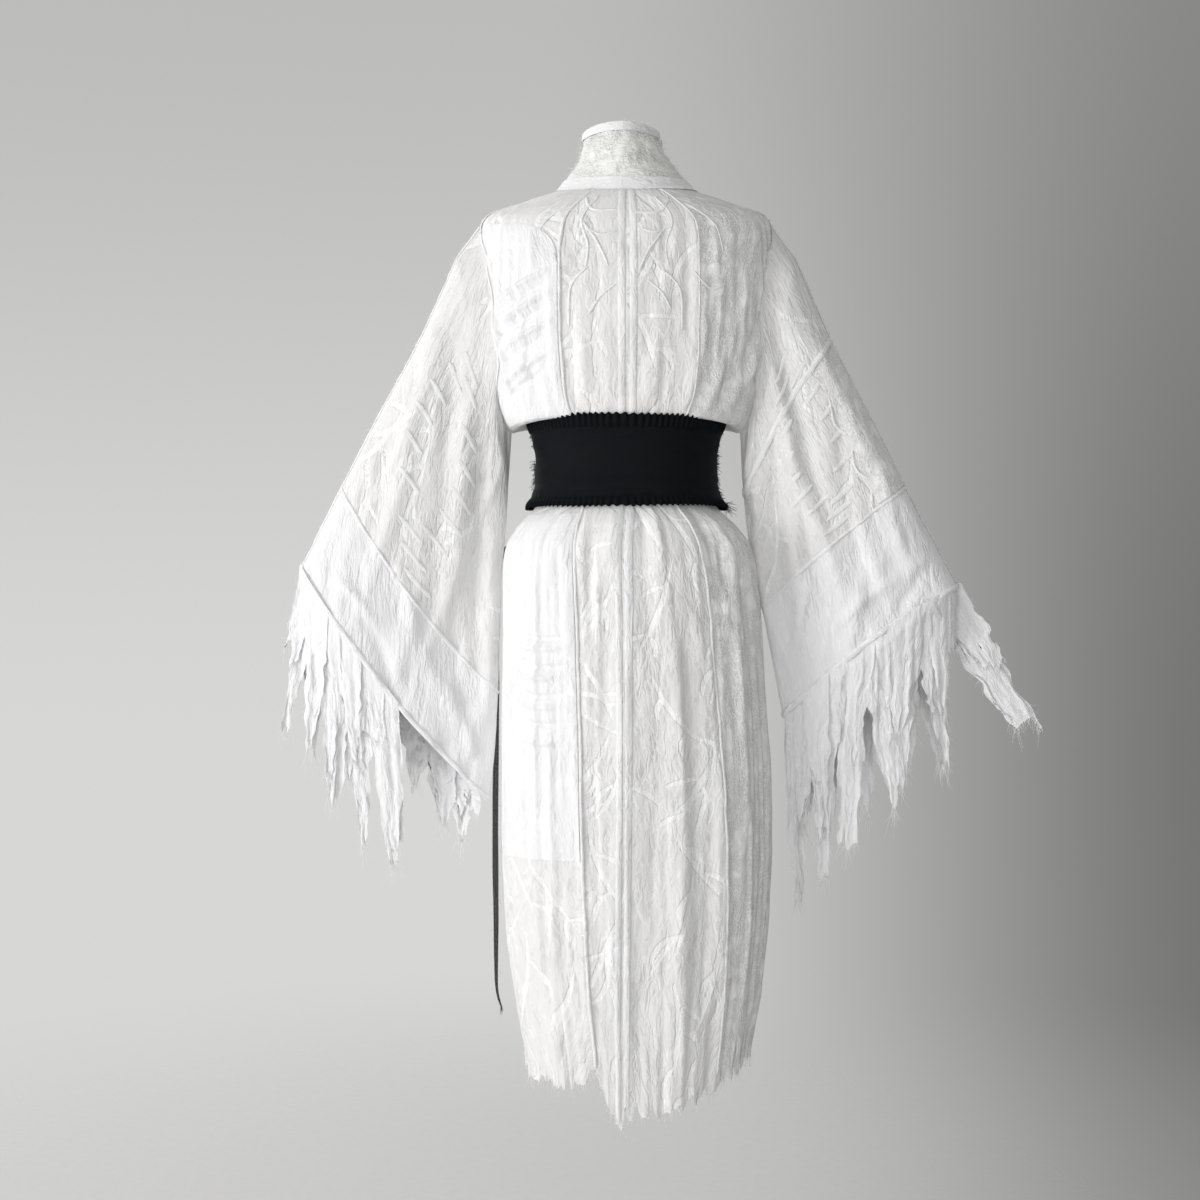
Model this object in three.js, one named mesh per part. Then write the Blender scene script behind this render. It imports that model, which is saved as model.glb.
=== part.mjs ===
// A torn cotton yukata robe with its own wide stretch belt, worn-shaped and hollow.
//
// Frame: millimetres, +Z up, the front faces -Y and the wearer's left is +X.
// The origin lies between the shoulders, level with the place where the shoulder line meets the
// collar, because that is where the wearer's shoulders carry the robe.
//
// Every cloth piece is a thin closed wall. The body panels are stretches of one worn surface,
// bodyPoint, whose rings come from the BODY table. The sleeves are tubes between the armhole and
// the cuff, from the SLEEVE tables, and the torn strips hang from the cuff line.
import * as THREE from "three";
import { mergeVertices } from "three/addons/utils/BufferGeometryUtils.js";

// ---------------------------------------------------------------- driving dimensions
const GAUZE = 1.2; // cloth wall of the body and sleeves
const DOUBLED = 1.6; // collar and bindings, cloth turned twice
const STRETCH = 2.0; // the belt's thick knit
const SEAM = 0.8; // gap between two pieces that are sewn edge to edge
const LAYER = 0.6; // gap between a piece and what lies on it
const CUFF_GAP = 2.5; // gap between the cuff line and the flat strips that hang below its curve
const SQUARENESS = 2.3; // exponent of the superellipse rings
const OVERLAP_LIFT = 5; // how far the left front stands off the right one under it
const BELT_TOP = -344;
const BELT_FOOT = -460;

// Rings of the worn body from neck to hem. z differs between back, side and front; half-width and
// depths are the ring's, shift moves it sideways, armhole is half the armhole's opening in degrees.
const BODY = [
  { name: "neck", zBack: -8, zSide: -1, zFront: -6, half: 98, back: 68, front: 52, shift: 0, armhole: 0 },
  { name: "yoke", zBack: -28, zSide: -17, zFront: -28, half: 148, back: 85, front: 72, shift: 0, armhole: 0 },
  { name: "shoulder", zBack: -62, zSide: -41, zFront: -60, half: 205, back: 99, front: 86, shift: 0, armhole: 1 },
  { name: "blade", zBack: -120, zSide: -102, zFront: -118, half: 213, back: 110, front: 99, shift: 0, armhole: 20 },
  { name: "chest", zBack: -185, zSide: -180, zFront: -182, half: 211, back: 114, front: 105, shift: 0, armhole: 27 },
  { name: "rib", zBack: -255, zSide: -258, zFront: -250, half: 204, back: 111, front: 104, shift: 0, armhole: 26 },
  { name: "armpit", zBack: -310, zSide: -318, zFront: -306, half: 188, back: 106, front: 102, shift: 0, armhole: 15 },
  { name: "blouse", zBack: -335, zSide: -353, zFront: -333, half: 167, back: 101, front: 99, shift: 0, armhole: 0 },
  { name: "tuck", zBack: -338, zSide: -337, zFront: -338, half: 130, back: 92, front: 91, shift: 0, armhole: 0 },
  { name: "waist", zBack: -402, zSide: -402, zFront: -402, half: 121, back: 87, front: 87, shift: 0, armhole: 0 },
  { name: "belt_foot", zBack: -455, zSide: -455, zFront: -455, half: 129, back: 93, front: 92, shift: 0, armhole: 0 },
  { name: "flare", zBack: -492, zSide: -492, zFront: -492, half: 160, back: 112, front: 103, shift: -2, armhole: 0 },
  { name: "hip", zBack: -534, zSide: -530, zFront: -534, half: 178, back: 123, front: 109, shift: -3, armhole: 0 },
  { name: "seat", zBack: -620, zSide: -620, zFront: -620, half: 184, back: 128, front: 113, shift: -7, armhole: 0 },
  { name: "thigh", zBack: -745, zSide: -745, zFront: -745, half: 190, back: 126, front: 115, shift: -11, armhole: 0 },
  { name: "knee", zBack: -900, zSide: -900, zFront: -900, half: 193, back: 122, front: 114, shift: -14, armhole: 0 },
  { name: "calf", zBack: -1050, zSide: -1050, zFront: -1045, half: 189, back: 118, front: 111, shift: -15, armhole: 0 },
  { name: "shin", zBack: -1170, zSide: -1165, zFront: -1140, half: 176, back: 114, front: 108, shift: -15, armhole: 0 },
  { name: "hem", zBack: 0, zSide: 0, zFront: 0, half: 160, back: 110, front: 106, shift: -15, armhole: 0 },
];
const ROW = Object.fromEntries(BODY.map((row, index) => [row.name, index]));
const ARMHOLE_STEP = 0.5; // the rings are halved between shoulder and blouse, where the sleeves join

// Soft lengthwise folds of the skirt: where each ridge runs, how high it stands and how wide it is.
const FOLDS = [
  { belt: -13, hem: -17, height: 3, spread: 8 }, { belt: -44, hem: -55, height: 6, spread: 11 },
  { belt: -70, hem: -80, height: 5, spread: 12 }, { belt: 48, hem: 38, height: 4, spread: 11 },
  { belt: 72, hem: 66, height: 5, spread: 12 }, { belt: 104, hem: 100, height: 5, spread: 12 },
  { belt: 134, hem: 128, height: 4, spread: 11 }, { belt: 200, hem: 206, height: 4, spread: 12 },
  { belt: 228, hem: 236, height: 5, spread: 12 }, { belt: 256, hem: 258, height: 5, spread: 12 },
];

// How low the torn hem reaches at each angle round the body (0 is the centre back, + is the left).
const HEM = [
  { angle: -180, z: -1222 }, { angle: -125, z: -1200 }, { angle: -98, z: -1206 }, { angle: -80, z: -1262 },
  { angle: -62, z: -1256 }, { angle: -45, z: -1282 }, { angle: -26, z: -1308 }, { angle: -8, z: -1318 },
  { angle: 6, z: -1332 }, { angle: 12, z: -1316 }, { angle: 18, z: -1272 }, { angle: 32, z: -1284 },
  { angle: 52, z: -1278 }, { angle: 75, z: -1270 }, { angle: 90, z: -1262 }, { angle: 130, z: -1236 },
  { angle: 180, z: -1222 }, { angle: 240, z: -1214 },
];

// Lengthwise seams of the patchwork, as an angle at the neck, the belt and the hem.
const SEAM_CENTRE = { neck: 0, belt: 0, hem: 6 };
const SEAM_LEFT = { neck: 22, belt: 25, hem: 18 };
const SEAM_RIGHT = { neck: -24, belt: -27, hem: -41 };
const SEAM_FRONT = { neck: 128, belt: 146, hem: 150 }; // front panel to overlap panel, on both sides
const NECK_EDGE = 118; // angle at which the front edge leaves the shoulder
const CROSSING = 12; // how far past the centre front each edge runs at the belt, in degrees
const WRAP = 42; // and at the hem
const OVERLAP_TIP = 3; // width of the overlap panels' top ends, in degrees

// Sleeve stations from armhole to cuff. top is the line along the arm, low the hanging edge; swell is
// the teardrop section's size, pinch how much thinner its low end is, bow how far it sags between.
const SLEEVE_LEFT = [
  { topX: 246, topZ: -100, lowX: 172, lowZ: -424, swell: 64, pinch: 0.45, bow: 0, y: 0 },
  { topX: 301, topZ: -220, lowX: 176, lowZ: -500, swell: 66, pinch: 0.65, bow: 0, y: -2 },
  { topX: 360, topZ: -330, lowX: 184, lowZ: -600, swell: 66, pinch: 0.72, bow: 4, y: -3 },
  { topX: 414, topZ: -434, lowX: 188, lowZ: -730, swell: 66, pinch: 0.76, bow: 22, y: -4 },
  { topX: 446, topZ: -497, lowX: 193, lowZ: -815, swell: 68, pinch: 0.76, bow: 14, y: -4 },
  { topX: 473, topZ: -548, lowX: 202, lowZ: -886, swell: 70, pinch: 0.72, bow: 18, y: -4 },
];
const SLEEVE_RIGHT = [
  { topX: 246, topZ: -100, lowX: 170, lowZ: -416, swell: 64, pinch: 0.45, bow: 0, y: 0 },
  { topX: 301, topZ: -224, lowX: 176, lowZ: -482, swell: 66, pinch: 0.65, bow: 0, y: -2 },
  { topX: 358, topZ: -334, lowX: 186, lowZ: -540, swell: 66, pinch: 0.7, bow: -4, y: -3 },
  { topX: 405, topZ: -432, lowX: 200, lowZ: -606, swell: 66, pinch: 0.72, bow: -8, y: -4 },
  { topX: 446, topZ: -508, lowX: 214, lowZ: -686, swell: 68, pinch: 0.72, bow: -13, y: -4 },
  { topX: 482, topZ: -575, lowX: 230, lowZ: -764, swell: 70, pinch: 0.7, bow: -18, y: -4 },
];
const JOIN_STATION = 3; // index of the station where the upper sleeve is sewn to the lower one
const AROUND_SLEEVE = ((ROW.blouse - ROW.shoulder) / ARMHOLE_STEP) * 2; // points round each sleeve

// Torn strips below each cuff, from the wrist inwards: where the strip hangs (distance from the
// centre line), its width at the top, where its tip is and how wide the tip is.
const STRIPS = {
  left: {
    back: [
      { at: 474, width: 18, tipX: 495, tipZ: -782, tip: 8 },
      { at: 443, width: 24, tipX: 458, tipZ: -822, tip: 9 },
      { at: 417, width: 24, tipX: 424, tipZ: -890, tip: 20 },
      { at: 388, width: 28, tipX: 386, tipZ: -953, tip: 9 },
      { at: 352, width: 36, tipX: 334, tipZ: -976, tip: 13 },
    ],
    front: [
      { at: 450, width: 30, tipX: 464, tipZ: -760, tip: 12 },
      { at: 400, width: 34, tipX: 404, tipZ: -860, tip: 12 },
      { at: 355, width: 32, tipX: 352, tipZ: -900, tip: 12 },
      { at: 308, width: 34, tipX: 306, tipZ: -866, tip: 12 },
      { at: 270, width: 30, tipX: 265, tipZ: -915, tip: 12 },
      { at: 238, width: 22, tipX: 246, tipZ: -948, tip: 10 },
    ],
  },
  right: {
    back: [
      { at: 466, width: 30, tipX: 586, tipZ: -776, tip: 46 },
      { at: 434, width: 26, tipX: 466, tipZ: -834, tip: 7 },
      { at: 400, width: 28, tipX: 396, tipZ: -868, tip: 16 },
      { at: 362, width: 32, tipX: 386, tipZ: -896, tip: 8 },
      { at: 324, width: 34, tipX: 322, tipZ: -958, tip: 30 },
      { at: 286, width: 30, tipX: 290, tipZ: -994, tip: 12 },
      { at: 250, width: 30, tipX: 248, tipZ: -1022, tip: 10 },
    ],
    front: [
      { at: 440, width: 34, tipX: 462, tipZ: -824, tip: 14 },
      { at: 394, width: 34, tipX: 404, tipZ: -862, tip: 12 },
      { at: 350, width: 32, tipX: 356, tipZ: -906, tip: 12 },
      { at: 306, width: 32, tipX: 304, tipZ: -912, tip: 12 },
      { at: 264, width: 30, tipX: 262, tipZ: -934, tip: 12 },
    ],
  },
};
const TEAR_START = 0.42; // share of the shorter neighbour's length at which a tear between two starts

// The collar stands round the neck and runs down the front edges. reach is its width across.
const COLLAR_BACK_REACH = 94;
const COLLAR_FRONT_REACH = 58;
const COLLAR_BINDING = 12; // height of the plain bindings along both of its long edges
const COLLAR_DRIFT = 7; // how far the standing collar's top has slipped to the left

// The hanging tie: a folded bias strip from under the belt, over the hip and straight down.
const TIE_WIDTH = 14;
const TIE_ROUTE = [
  { x: 96, y: -110, z: -466, half: 6 }, { x: 130, y: -104, z: -486, half: 6 }, { x: 166, y: -88, z: -508, half: 6 },
  { x: 187, y: -70, z: -534, half: 6 }, { x: 192, y: -62, z: -580, half: 5 }, { x: 193, y: -60, z: -660, half: 5 },
  { x: 192, y: -60, z: -740, half: 5 }, { x: 193, y: -60, z: -820, half: 5 }, { x: 194, y: -60, z: -900, half: 7 },
  { x: 194, y: -60, z: -990, half: 7 }, { x: 193, y: -60, z: -1060, half: 5 }, { x: 193, y: -60, z: -1130, half: 3 },
  { x: 192, y: -60, z: -1176, half: 2 }, { x: 185, y: -60, z: -1204, half: 1 },
];

// ---------------------------------------------------------------- small maths
const lerp = (a, b, t) => a + (b - a) * t;
const clamp01 = (t) => Math.min(1, Math.max(0, t));
const smooth = (a, b, t) => {
  const x = clamp01((t - a) / (b - a));
  return x * x * (3 - 2 * x);
};
const radians = THREE.MathUtils.degToRad;

/** Value of a table's column at a fractional row, on a smooth curve through its rows. */
function along(table, column, at) {
  const i = Math.min(table.length - 2, Math.floor(at));
  const value = (k) => table[Math.min(table.length - 1, Math.max(0, k))][column];
  const t = at - i;
  const [p0, p1, p2, p3] = [value(i - 1), value(i), value(i + 1), value(i + 2)];
  const slope1 = (p2 - p0) / 2;
  const slope2 = (p3 - p1) / 2;
  const t2 = t * t;
  const t3 = t2 * t;
  return (2 * t3 - 3 * t2 + 1) * p1 + (t3 - 2 * t2 + t) * slope1 + (3 * t2 - 2 * t3) * p2 + (t3 - t2) * slope2;
}

/** Straight-line value between the rows of a table whose key column grows. */
function lookUp(table, key, column, at) {
  const next = table.findIndex((row) => row[key] >= at);
  if (next <= 0) return table[next < 0 ? table.length - 1 : 0][column];
  const [a, b] = [table[next - 1], table[next]];
  return lerp(a[column], b[column], (at - a[key]) / (b[key] - a[key]));
}

// ---------------------------------------------------------------- the worn body
/** Height of the body ring at a row and an angle. */
function bodyHeight(angle, row) {
  const facing = Math.cos(radians(angle));
  const side = 1 - Math.abs(facing);
  const level = (at) =>
    lerp(along(BODY, facing >= 0 ? "zBack" : "zFront", at), along(BODY, "zSide", at), side);
  if (row <= ROW.shin) return level(row);
  const wrapped = angle < -180 ? angle + 360 : angle;
  const hem = lookUp(HEM, "angle", "z", wrapped);
  return lerp(level(ROW.shin), hem, row - ROW.shin);
}

/** How far the skirt's folds stand out at an angle and a row. */
function foldHeight(angle, row) {
  const down = (row - ROW.belt_foot) / (ROW.hem - ROW.belt_foot);
  if (down <= 0) return 0;
  return FOLDS.reduce((height, fold) => {
    const away = (((angle - lerp(fold.belt, fold.hem, down) + 540) % 360) - 180) / fold.spread;
    return Math.abs(away) >= 1 ? height : height + fold.height * smooth(0, 0.25, down) * Math.cos((away * Math.PI) / 2) ** 2;
  }, 0);
}

/** A point of the worn surface: angle in degrees from the centre back, row in BODY, lift outwards. */
function bodyPoint(angle, row, raise = 0) {
  const a = radians(angle);
  const lift = raise + foldHeight(angle, row);
  const power = 2 / SQUARENESS;
  const shaped = (v) => Math.sign(v) * Math.abs(v) ** power;
  const depth = Math.cos(a) >= 0 ? along(BODY, "back", row) : along(BODY, "front", row);
  return new THREE.Vector3(
    along(BODY, "shift", row) + (along(BODY, "half", row) + lift) * shaped(Math.sin(a)),
    (depth + lift) * shaped(Math.cos(a)),
    bodyHeight(angle, row),
  );
}

/** Angle of a lengthwise seam at a row: neck to belt, then belt to hem. */
function seamAngle(seam, row) {
  if (row <= ROW.waist) return lerp(seam.neck, seam.belt, row / ROW.waist);
  return lerp(seam.belt, seam.hem, (row - ROW.waist) / (ROW.hem - ROW.waist));
}

/** Angle of the front edge at a row, for the left front; the right one is its mirror image. */
function frontEdge(row) {
  const atBelt = 180 + CROSSING;
  if (row <= ROW.waist) return lerp(NECK_EDGE, atBelt, (row / ROW.waist) ** 0.9);
  return lerp(atBelt, 180 + WRAP, smooth(ROW.waist, ROW.seat, row));
}

/** Angle of the armhole's edge: side is +1 on its back half and -1 on its front half. */
const armholeEdge = (row, half) => 90 - half * Math.max(0, along(BODY, "armhole", row));

/** How far the left front is lifted off the right one, which lies under it. */
function overlapLift(angle, row) {
  return OVERLAP_LIFT * smooth(118, 140, angle) * smooth(0.4, 2.2, row);
}

// ---------------------------------------------------------------- walls
/** Direction out of the cloth at a fractional row and column of its grid. */
function normalAt(grid, row, column, ring = false) {
  const rows = grid.length - 1;
  const columns = grid[0].length - 1;
  const hold = (value, last) => Math.min(last, Math.max(0, value));
  const pick = (r, c) => (ring ? grid[hold(r, rows)][(c + columns + 1) % (columns + 1)] : grid[hold(r, rows)][hold(c, columns)]);
  const [r, c] = [Math.round(row), Math.round(column)];
  const across = pick(r, c + 1).clone().sub(pick(r, c - 1));
  const down = pick(r + 1, c).clone().sub(pick(r - 1, c));
  return across.cross(down).normalize();
}

/** A closed thin wall round a grid of points, thickness centred on them. */
function wall(grid, thickness, { ring = false } = {}) {
  const rows = grid.length;
  const columns = grid[0].length;
  const positions = [];
  for (const side of [1, -1]) {
    for (let r = 0; r < rows; r++) {
      for (let c = 0; c < columns; c++) {
        const out = normalAt(grid, r, c, ring);
        positions.push(...grid[r][c].clone().addScaledVector(out, (side * thickness) / 2).toArray());
      }
    }
  }
  const layer = rows * columns;
  const id = (side, r, c) => side * layer + r * columns + (c % columns);
  const triangles = [];
  const quad = (a, b, c, d) => triangles.push(a, b, c, a, c, d);
  const lastColumn = ring ? columns : columns - 1;
  for (let r = 0; r < rows - 1; r++) {
    for (let c = 0; c < lastColumn; c++) {
      quad(id(0, r, c), id(0, r + 1, c), id(0, r + 1, c + 1), id(0, r, c + 1));
      quad(id(1, r, c), id(1, r, c + 1), id(1, r + 1, c + 1), id(1, r + 1, c));
    }
  }
  for (let c = 0; c < lastColumn; c++) {
    quad(id(0, 0, c), id(0, 0, c + 1), id(1, 0, c + 1), id(1, 0, c));
    quad(id(0, rows - 1, c + 1), id(0, rows - 1, c), id(1, rows - 1, c), id(1, rows - 1, c + 1));
  }
  for (let r = 0; !ring && r < rows - 1; r++) {
    quad(id(0, r + 1, 0), id(0, r, 0), id(1, r, 0), id(1, r + 1, 0));
    quad(id(0, r, columns - 1), id(0, r + 1, columns - 1), id(1, r + 1, columns - 1), id(1, r, columns - 1));
  }
  const geometry = new THREE.BufferGeometry();
  geometry.setAttribute("position", new THREE.Float32BufferAttribute(positions, 3));
  return outwards(geometry.setIndex(triangles));
}

/** Grid of a piece that lies on another: a stretch of the other's own grid, moved out by lift. */
function laidOn(grid, rows, columns, lift) {
  const cuts = ([from, to]) => {
    const between = Array.from({ length: grid.length + grid[0].length }, (_, i) => i);
    return [from, ...between.filter((i) => i > from + 0.05 && i < to - 0.05), to];
  };
  return cuts(rows).map((row) =>
    cuts(columns).map((column) => {
      const r = Math.min(grid.length - 2, Math.floor(row));
      const c = Math.min(grid[0].length - 2, Math.floor(column));
      const [u, v] = [row - r, column - c];
      const corner = (i, j) => grid[r + i][c + j].clone().addScaledVector(normalAt(grid, r + i, c + j), lift);
      const upper = corner(0, 0).lerp(corner(0, 1), v);
      return upper.lerp(corner(1, 0).lerp(corner(1, 1), v), u);
    }),
  );
}

/** The same geometry with its faces pointing out, whichever way its grid ran. */
function outwards(geometry) {
  const p = geometry.getAttribute("position");
  const index = geometry.index.array;
  const [a, b, c] = [new THREE.Vector3(), new THREE.Vector3(), new THREE.Vector3()];
  let volume = 0;
  for (let i = 0; i < index.length; i += 3) {
    a.fromBufferAttribute(p, index[i]);
    b.fromBufferAttribute(p, index[i + 1]);
    c.fromBufferAttribute(p, index[i + 2]);
    volume += a.dot(b.cross(c));
  }
  if (volume < 0) {
    for (let i = 0; i < index.length; i += 3) [index[i], index[i + 1]] = [index[i + 1], index[i]];
  }
  return geometry;
}

/** Rows and columns of points from a function of two shares, each from 0 to 1. */
function gridOf(rows, columns, pointAt) {
  return Array.from({ length: rows + 1 }, (_, r) =>
    Array.from({ length: columns + 1 }, (_, c) => pointAt(r / rows, c / columns)),
  );
}

/** The rows on which every body panel has its points, so that neighbours meet row by row. */
const STATIONS = BODY.flatMap((_, row) =>
  row >= ROW.shoulder && row < ROW.blouse ? [row, row + ARMHOLE_STEP] : [row],
);

/** Grid of a body panel from a row downwards, between two edges that are functions of the row. */
function bodyGrid({ from = 0, columns, left, right, lift = () => 0 }) {
  return STATIONS.filter((row) => row >= from).map((row) => {
    const radius = along(BODY, "half", row) * 0.75 + 20;
    const gap = (SEAM / 2 / radius) * (180 / Math.PI);
    return Array.from({ length: columns + 1 }, (_, c) => {
      const angle = lerp(left(row) + gap, right(row) - gap, c / columns);
      return bodyPoint(angle, row, lift(angle, row));
    });
  });
}

// ---------------------------------------------------------------- sleeves
/** Edge of the armhole as a closed loop, from the shoulder tip down its back and up its front. */
function armholeLoop(mirror, gap) {
  return Array.from({ length: AROUND_SLEEVE }, (_, i) => {
    const back = i <= AROUND_SLEEVE / 2;
    const row = ROW.shoulder + ARMHOLE_STEP * (back ? i : AROUND_SLEEVE - i);
    const point = bodyPoint(armholeEdge(row, back ? 1 : -1), row);
    point.x = mirror * (point.x + gap);
    return point;
  });
}

/** One teardrop section of a sleeve, as a closed loop that starts at its top. */
function sleeveLoop(station, mirror) {
  return Array.from({ length: AROUND_SLEEVE }, (_, i) => {
    const turn = (2 * Math.PI * i) / AROUND_SLEEVE;
    const down = (1 - Math.cos(turn)) / 2;
    const swell = station.swell * Math.abs(Math.sin(turn)) ** 0.8 * (1 - station.pinch * down);
    const sag = station.bow * 4 * down * (1 - down);
    return new THREE.Vector3(
      mirror * lerp(station.topX, station.lowX, down),
      station.y + (turn <= Math.PI ? swell : -swell),
      lerp(station.topZ, station.lowZ, down) - sag,
    );
  });
}

/** Loops of a sleeve between two stations of its table; -1 is the armhole. */
function sleeveLoops(table, mirror, from, to, steps) {
  return Array.from({ length: steps + 1 }, (_, k) => {
    const at = lerp(from, to, k / steps);
    if (at < 0) {
      const first = sleeveLoop(table[0], mirror);
      return armholeLoop(mirror, 1.6).map((point, i) => point.lerp(first[i], at + 1));
    }
    const columns = Object.keys(table[0]);
    const station = Object.fromEntries(columns.map((column) => [column, along(table, column, at)]));
    return sleeveLoop(station, mirror);
  });
}

/** Depth of the sleeve's cloth behind or before the arm's plane, at a distance from the centre. */
function cuffDepth(table, x, z) {
  const cuff = table[table.length - 1];
  const down = clamp01((cuff.topX - x) / (cuff.topX - cuff.lowX));
  const turn = Math.acos(1 - 2 * down);
  const below = Math.max(0, lerp(cuff.topZ, cuff.lowZ, down) - z);
  const swell = cuff.swell * Math.sin(turn) ** 0.8 * (1 - cuff.pinch * down);
  return lerp(7, Math.max(7, swell), Math.exp(-below / 150));
}

/** Height of the cuff line at a distance from the centre. */
function cuffHeight(table, x) {
  const cuff = table[table.length - 1];
  const down = (cuff.topX - x) / (cuff.topX - cuff.lowX);
  return lerp(cuff.topZ, cuff.lowZ, down) - cuff.bow * 4 * down * (1 - down);
}

/** A row of torn strips joined under the cuff line, as a thin wall. face is +1 behind, -1 before. */
function tornStrips(table, strips, mirror, face) {
  const cuff = table[table.length - 1];
  const outline = new THREE.Shape();
  const first = strips[0];
  const last = strips[strips.length - 1];
  const start = Math.min(first.at + first.width / 2, cuff.topX - 4);
  const end = Math.max(last.at - last.width / 2, cuff.lowX + 6);
  const topSteps = 8;
  for (let i = 0; i <= topSteps; i++) {
    const x = lerp(start, end, i / topSteps);
    const z = cuffHeight(table, x) - CUFF_GAP;
    if (i === 0) outline.moveTo(x, z);
    else outline.lineTo(x, z);
  }
  for (let i = strips.length - 1; i >= 0; i--) {
    const strip = strips[i];
    const low = cuffHeight(table, strip.at);
    const middle = lerp(low, strip.tipZ, 0.7);
    const lean = (strip.tipX - strip.at) * 0.7;
    const half = lerp(strip.width, strip.tip, 0.7) / 2;
    outline.lineTo(strip.at + lean - half, middle);
    outline.lineTo(strip.tipX - strip.tip / 2, strip.tipZ + 9);
    outline.lineTo(strip.tipX + strip.tip / 2, strip.tipZ);
    outline.lineTo(strip.at + lean + half, middle + 8);
    if (i === 0) break;
    const next = strips[i - 1];
    const tearX = (strip.at + strip.width / 2 + next.at - next.width / 2) / 2;
    const shorter = Math.min(low - strip.tipZ, cuffHeight(table, next.at) - next.tipZ);
    outline.lineTo(tearX, cuffHeight(table, tearX) - shorter * TEAR_START);
  }
  const geometry = new THREE.ExtrudeGeometry(outline, { depth: GAUZE, bevelEnabled: false, steps: 1 });
  const p = geometry.getAttribute("position");
  for (let i = 0; i < p.count; i++) {
    const [x, z, depth] = [p.getX(i), p.getY(i), p.getZ(i) - GAUZE / 2];
    p.setXYZ(i, mirror * x, cuff.y + face * cuffDepth(table, x, z) + depth, z);
  }
  geometry.deleteAttribute("normal");
  geometry.deleteAttribute("uv");
  return outwards(mergeVertices(geometry));
}

// ---------------------------------------------------------------- collar
/** Where the collar's base runs, at a share of the way from the centre back to the belt. */
function collarBase(share) {
  const turning = 0.34; // the share at which the collar leaves the neck ring for the front edge
  if (share < turning) return { angle: (NECK_EDGE * share) / turning, row: 0 };
  const row = lerp(0, ROW.blouse - 0.1, (share - turning) / (1 - turning));
  return { angle: frontEdge(row), row };
}

/** A point of the collar: share along it (0 centre back, 1 belt), share across it, and its side. */
function collarPoint(share, across, mirror) {
  const { angle, row } = collarBase(share);
  const lift = mirror > 0 ? overlapLift(angle, row) : 0;
  const base = bodyPoint(angle, row, lift);
  const reach = lerp(COLLAR_BACK_REACH, COLLAR_FRONT_REACH, smooth(0.22, 0.5, share));
  const width = 1.5 + across * reach;
  // Standing part: a cone that leans on the neck, hollowed a little half-way up.
  const sideways = Math.abs(Math.sin(radians(angle)));
  const lean = lerp(0.12, 0.48, sideways);
  const hollow = Math.sin(Math.PI * across) * 9 * sideways;
  const inwards = new THREE.Vector3(-base.x, -base.y, 0).normalize();
  const stood = base.clone().addScaledVector(inwards, width * lean + hollow);
  stood.z += width * Math.sqrt(1 - lean * lean);
  // Lying part: square to the front edge, towards the other side and a little up.
  const radius = along(BODY, "half", row) * 0.62 + 20;
  const lain = bodyPoint(angle + ((width * 0.9) / radius) * (180 / Math.PI), Math.max(0, row - width * 0.0085), lift);
  const lying = smooth(0.24, 0.5, share);
  const point = stood.lerp(lain, lying);
  point.x = mirror * point.x + COLLAR_DRIFT * across * (1 - lying);
  return point;
}

// ---------------------------------------------------------------- belt
// The belt's outer profile from top to foot: it is drawn in at the middle and its edges roll out.
const BELT = [
  { z: BELT_TOP - 4, half: 141, back: 104, front: 102 },
  { z: BELT_TOP - 22, half: 136, back: 100, front: 99 },
  { z: -402, half: 132, back: 97, front: 97 },
  { z: BELT_FOOT + 24, half: 135, back: 100, front: 99 },
  { z: BELT_FOOT + 4, half: 142, back: 105, front: 103 },
];

/** A point of the belt's surface; at is a fractional row of BELT. */
function beltPoint(angle, at, lift = 0) {
  const a = radians(angle);
  const shaped = (v) => Math.sign(v) * Math.abs(v) ** (2 / SQUARENESS);
  const depth = along(BELT, Math.cos(a) >= 0 ? "back" : "front", at);
  return new THREE.Vector3(
    (along(BELT, "half", at) + lift) * shaped(Math.sin(a)),
    (depth + lift) * shaped(Math.cos(a)),
    along(BELT, "z", at),
  );
}

/** A stretch of the belt's panel between two angles. */
function beltPanel(from, to) {
  return wall(gridOf(4, 12, (down, across) => beltPoint(lerp(from, to, across), lerp(0.25, 3.75, down))), STRETCH);
}

/** A gathered edge of the belt between two fractional rows of BELT; its free side waves. */
function beltFrill(seam, edge) {
  const gathers = 32;
  const grid = gridOf(1, gathers - 1, (over, across) => {
    const turn = across * (gathers - 1);
    return beltPoint((360 * turn) / gathers, lerp(seam, edge, over), over * (1 + 0.7 * Math.sin(turn * 2.1)));
  });
  return wall(grid, STRETCH, { ring: true });
}

/** The hanging tie, a flat strip that follows TIE_ROUTE. */
function tie() {
  const steps = 22;
  const grid = gridOf(steps, 1, (down, across) => {
    const at = down * (TIE_ROUTE.length - 1);
    const half = Math.max(1, along(TIE_ROUTE, "half", at) * (TIE_WIDTH / 14));
    const centre = new THREE.Vector3(along(TIE_ROUTE, "x", at), along(TIE_ROUTE, "y", at), along(TIE_ROUTE, "z", at));
    const hanging = smooth(1, 4, at);
    const side = new THREE.Vector3(lerp(0.25, 0.95, hanging), lerp(0.1, 0.3, hanging), lerp(0.96, 0, hanging)).normalize();
    return centre.addScaledVector(side, lerp(-half, half, across));
  });
  return wall(grid, 1.6);
}

// ---------------------------------------------------------------- materials
const cotton = new THREE.MeshStandardMaterial({ color: 0xf1f1f4, roughness: 0.9, metalness: 0 });
const sheer = new THREE.MeshStandardMaterial({ color: 0xe6e6e2, roughness: 0.85, metalness: 0 });
const lace = new THREE.MeshStandardMaterial({ color: 0xecebe4, roughness: 0.95, metalness: 0 });
const blackKnit = new THREE.MeshStandardMaterial({ color: 0x111316, roughness: 0.8, metalness: 0 });

// ---------------------------------------------------------------- assembly
const robe = new THREE.Group();

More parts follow.
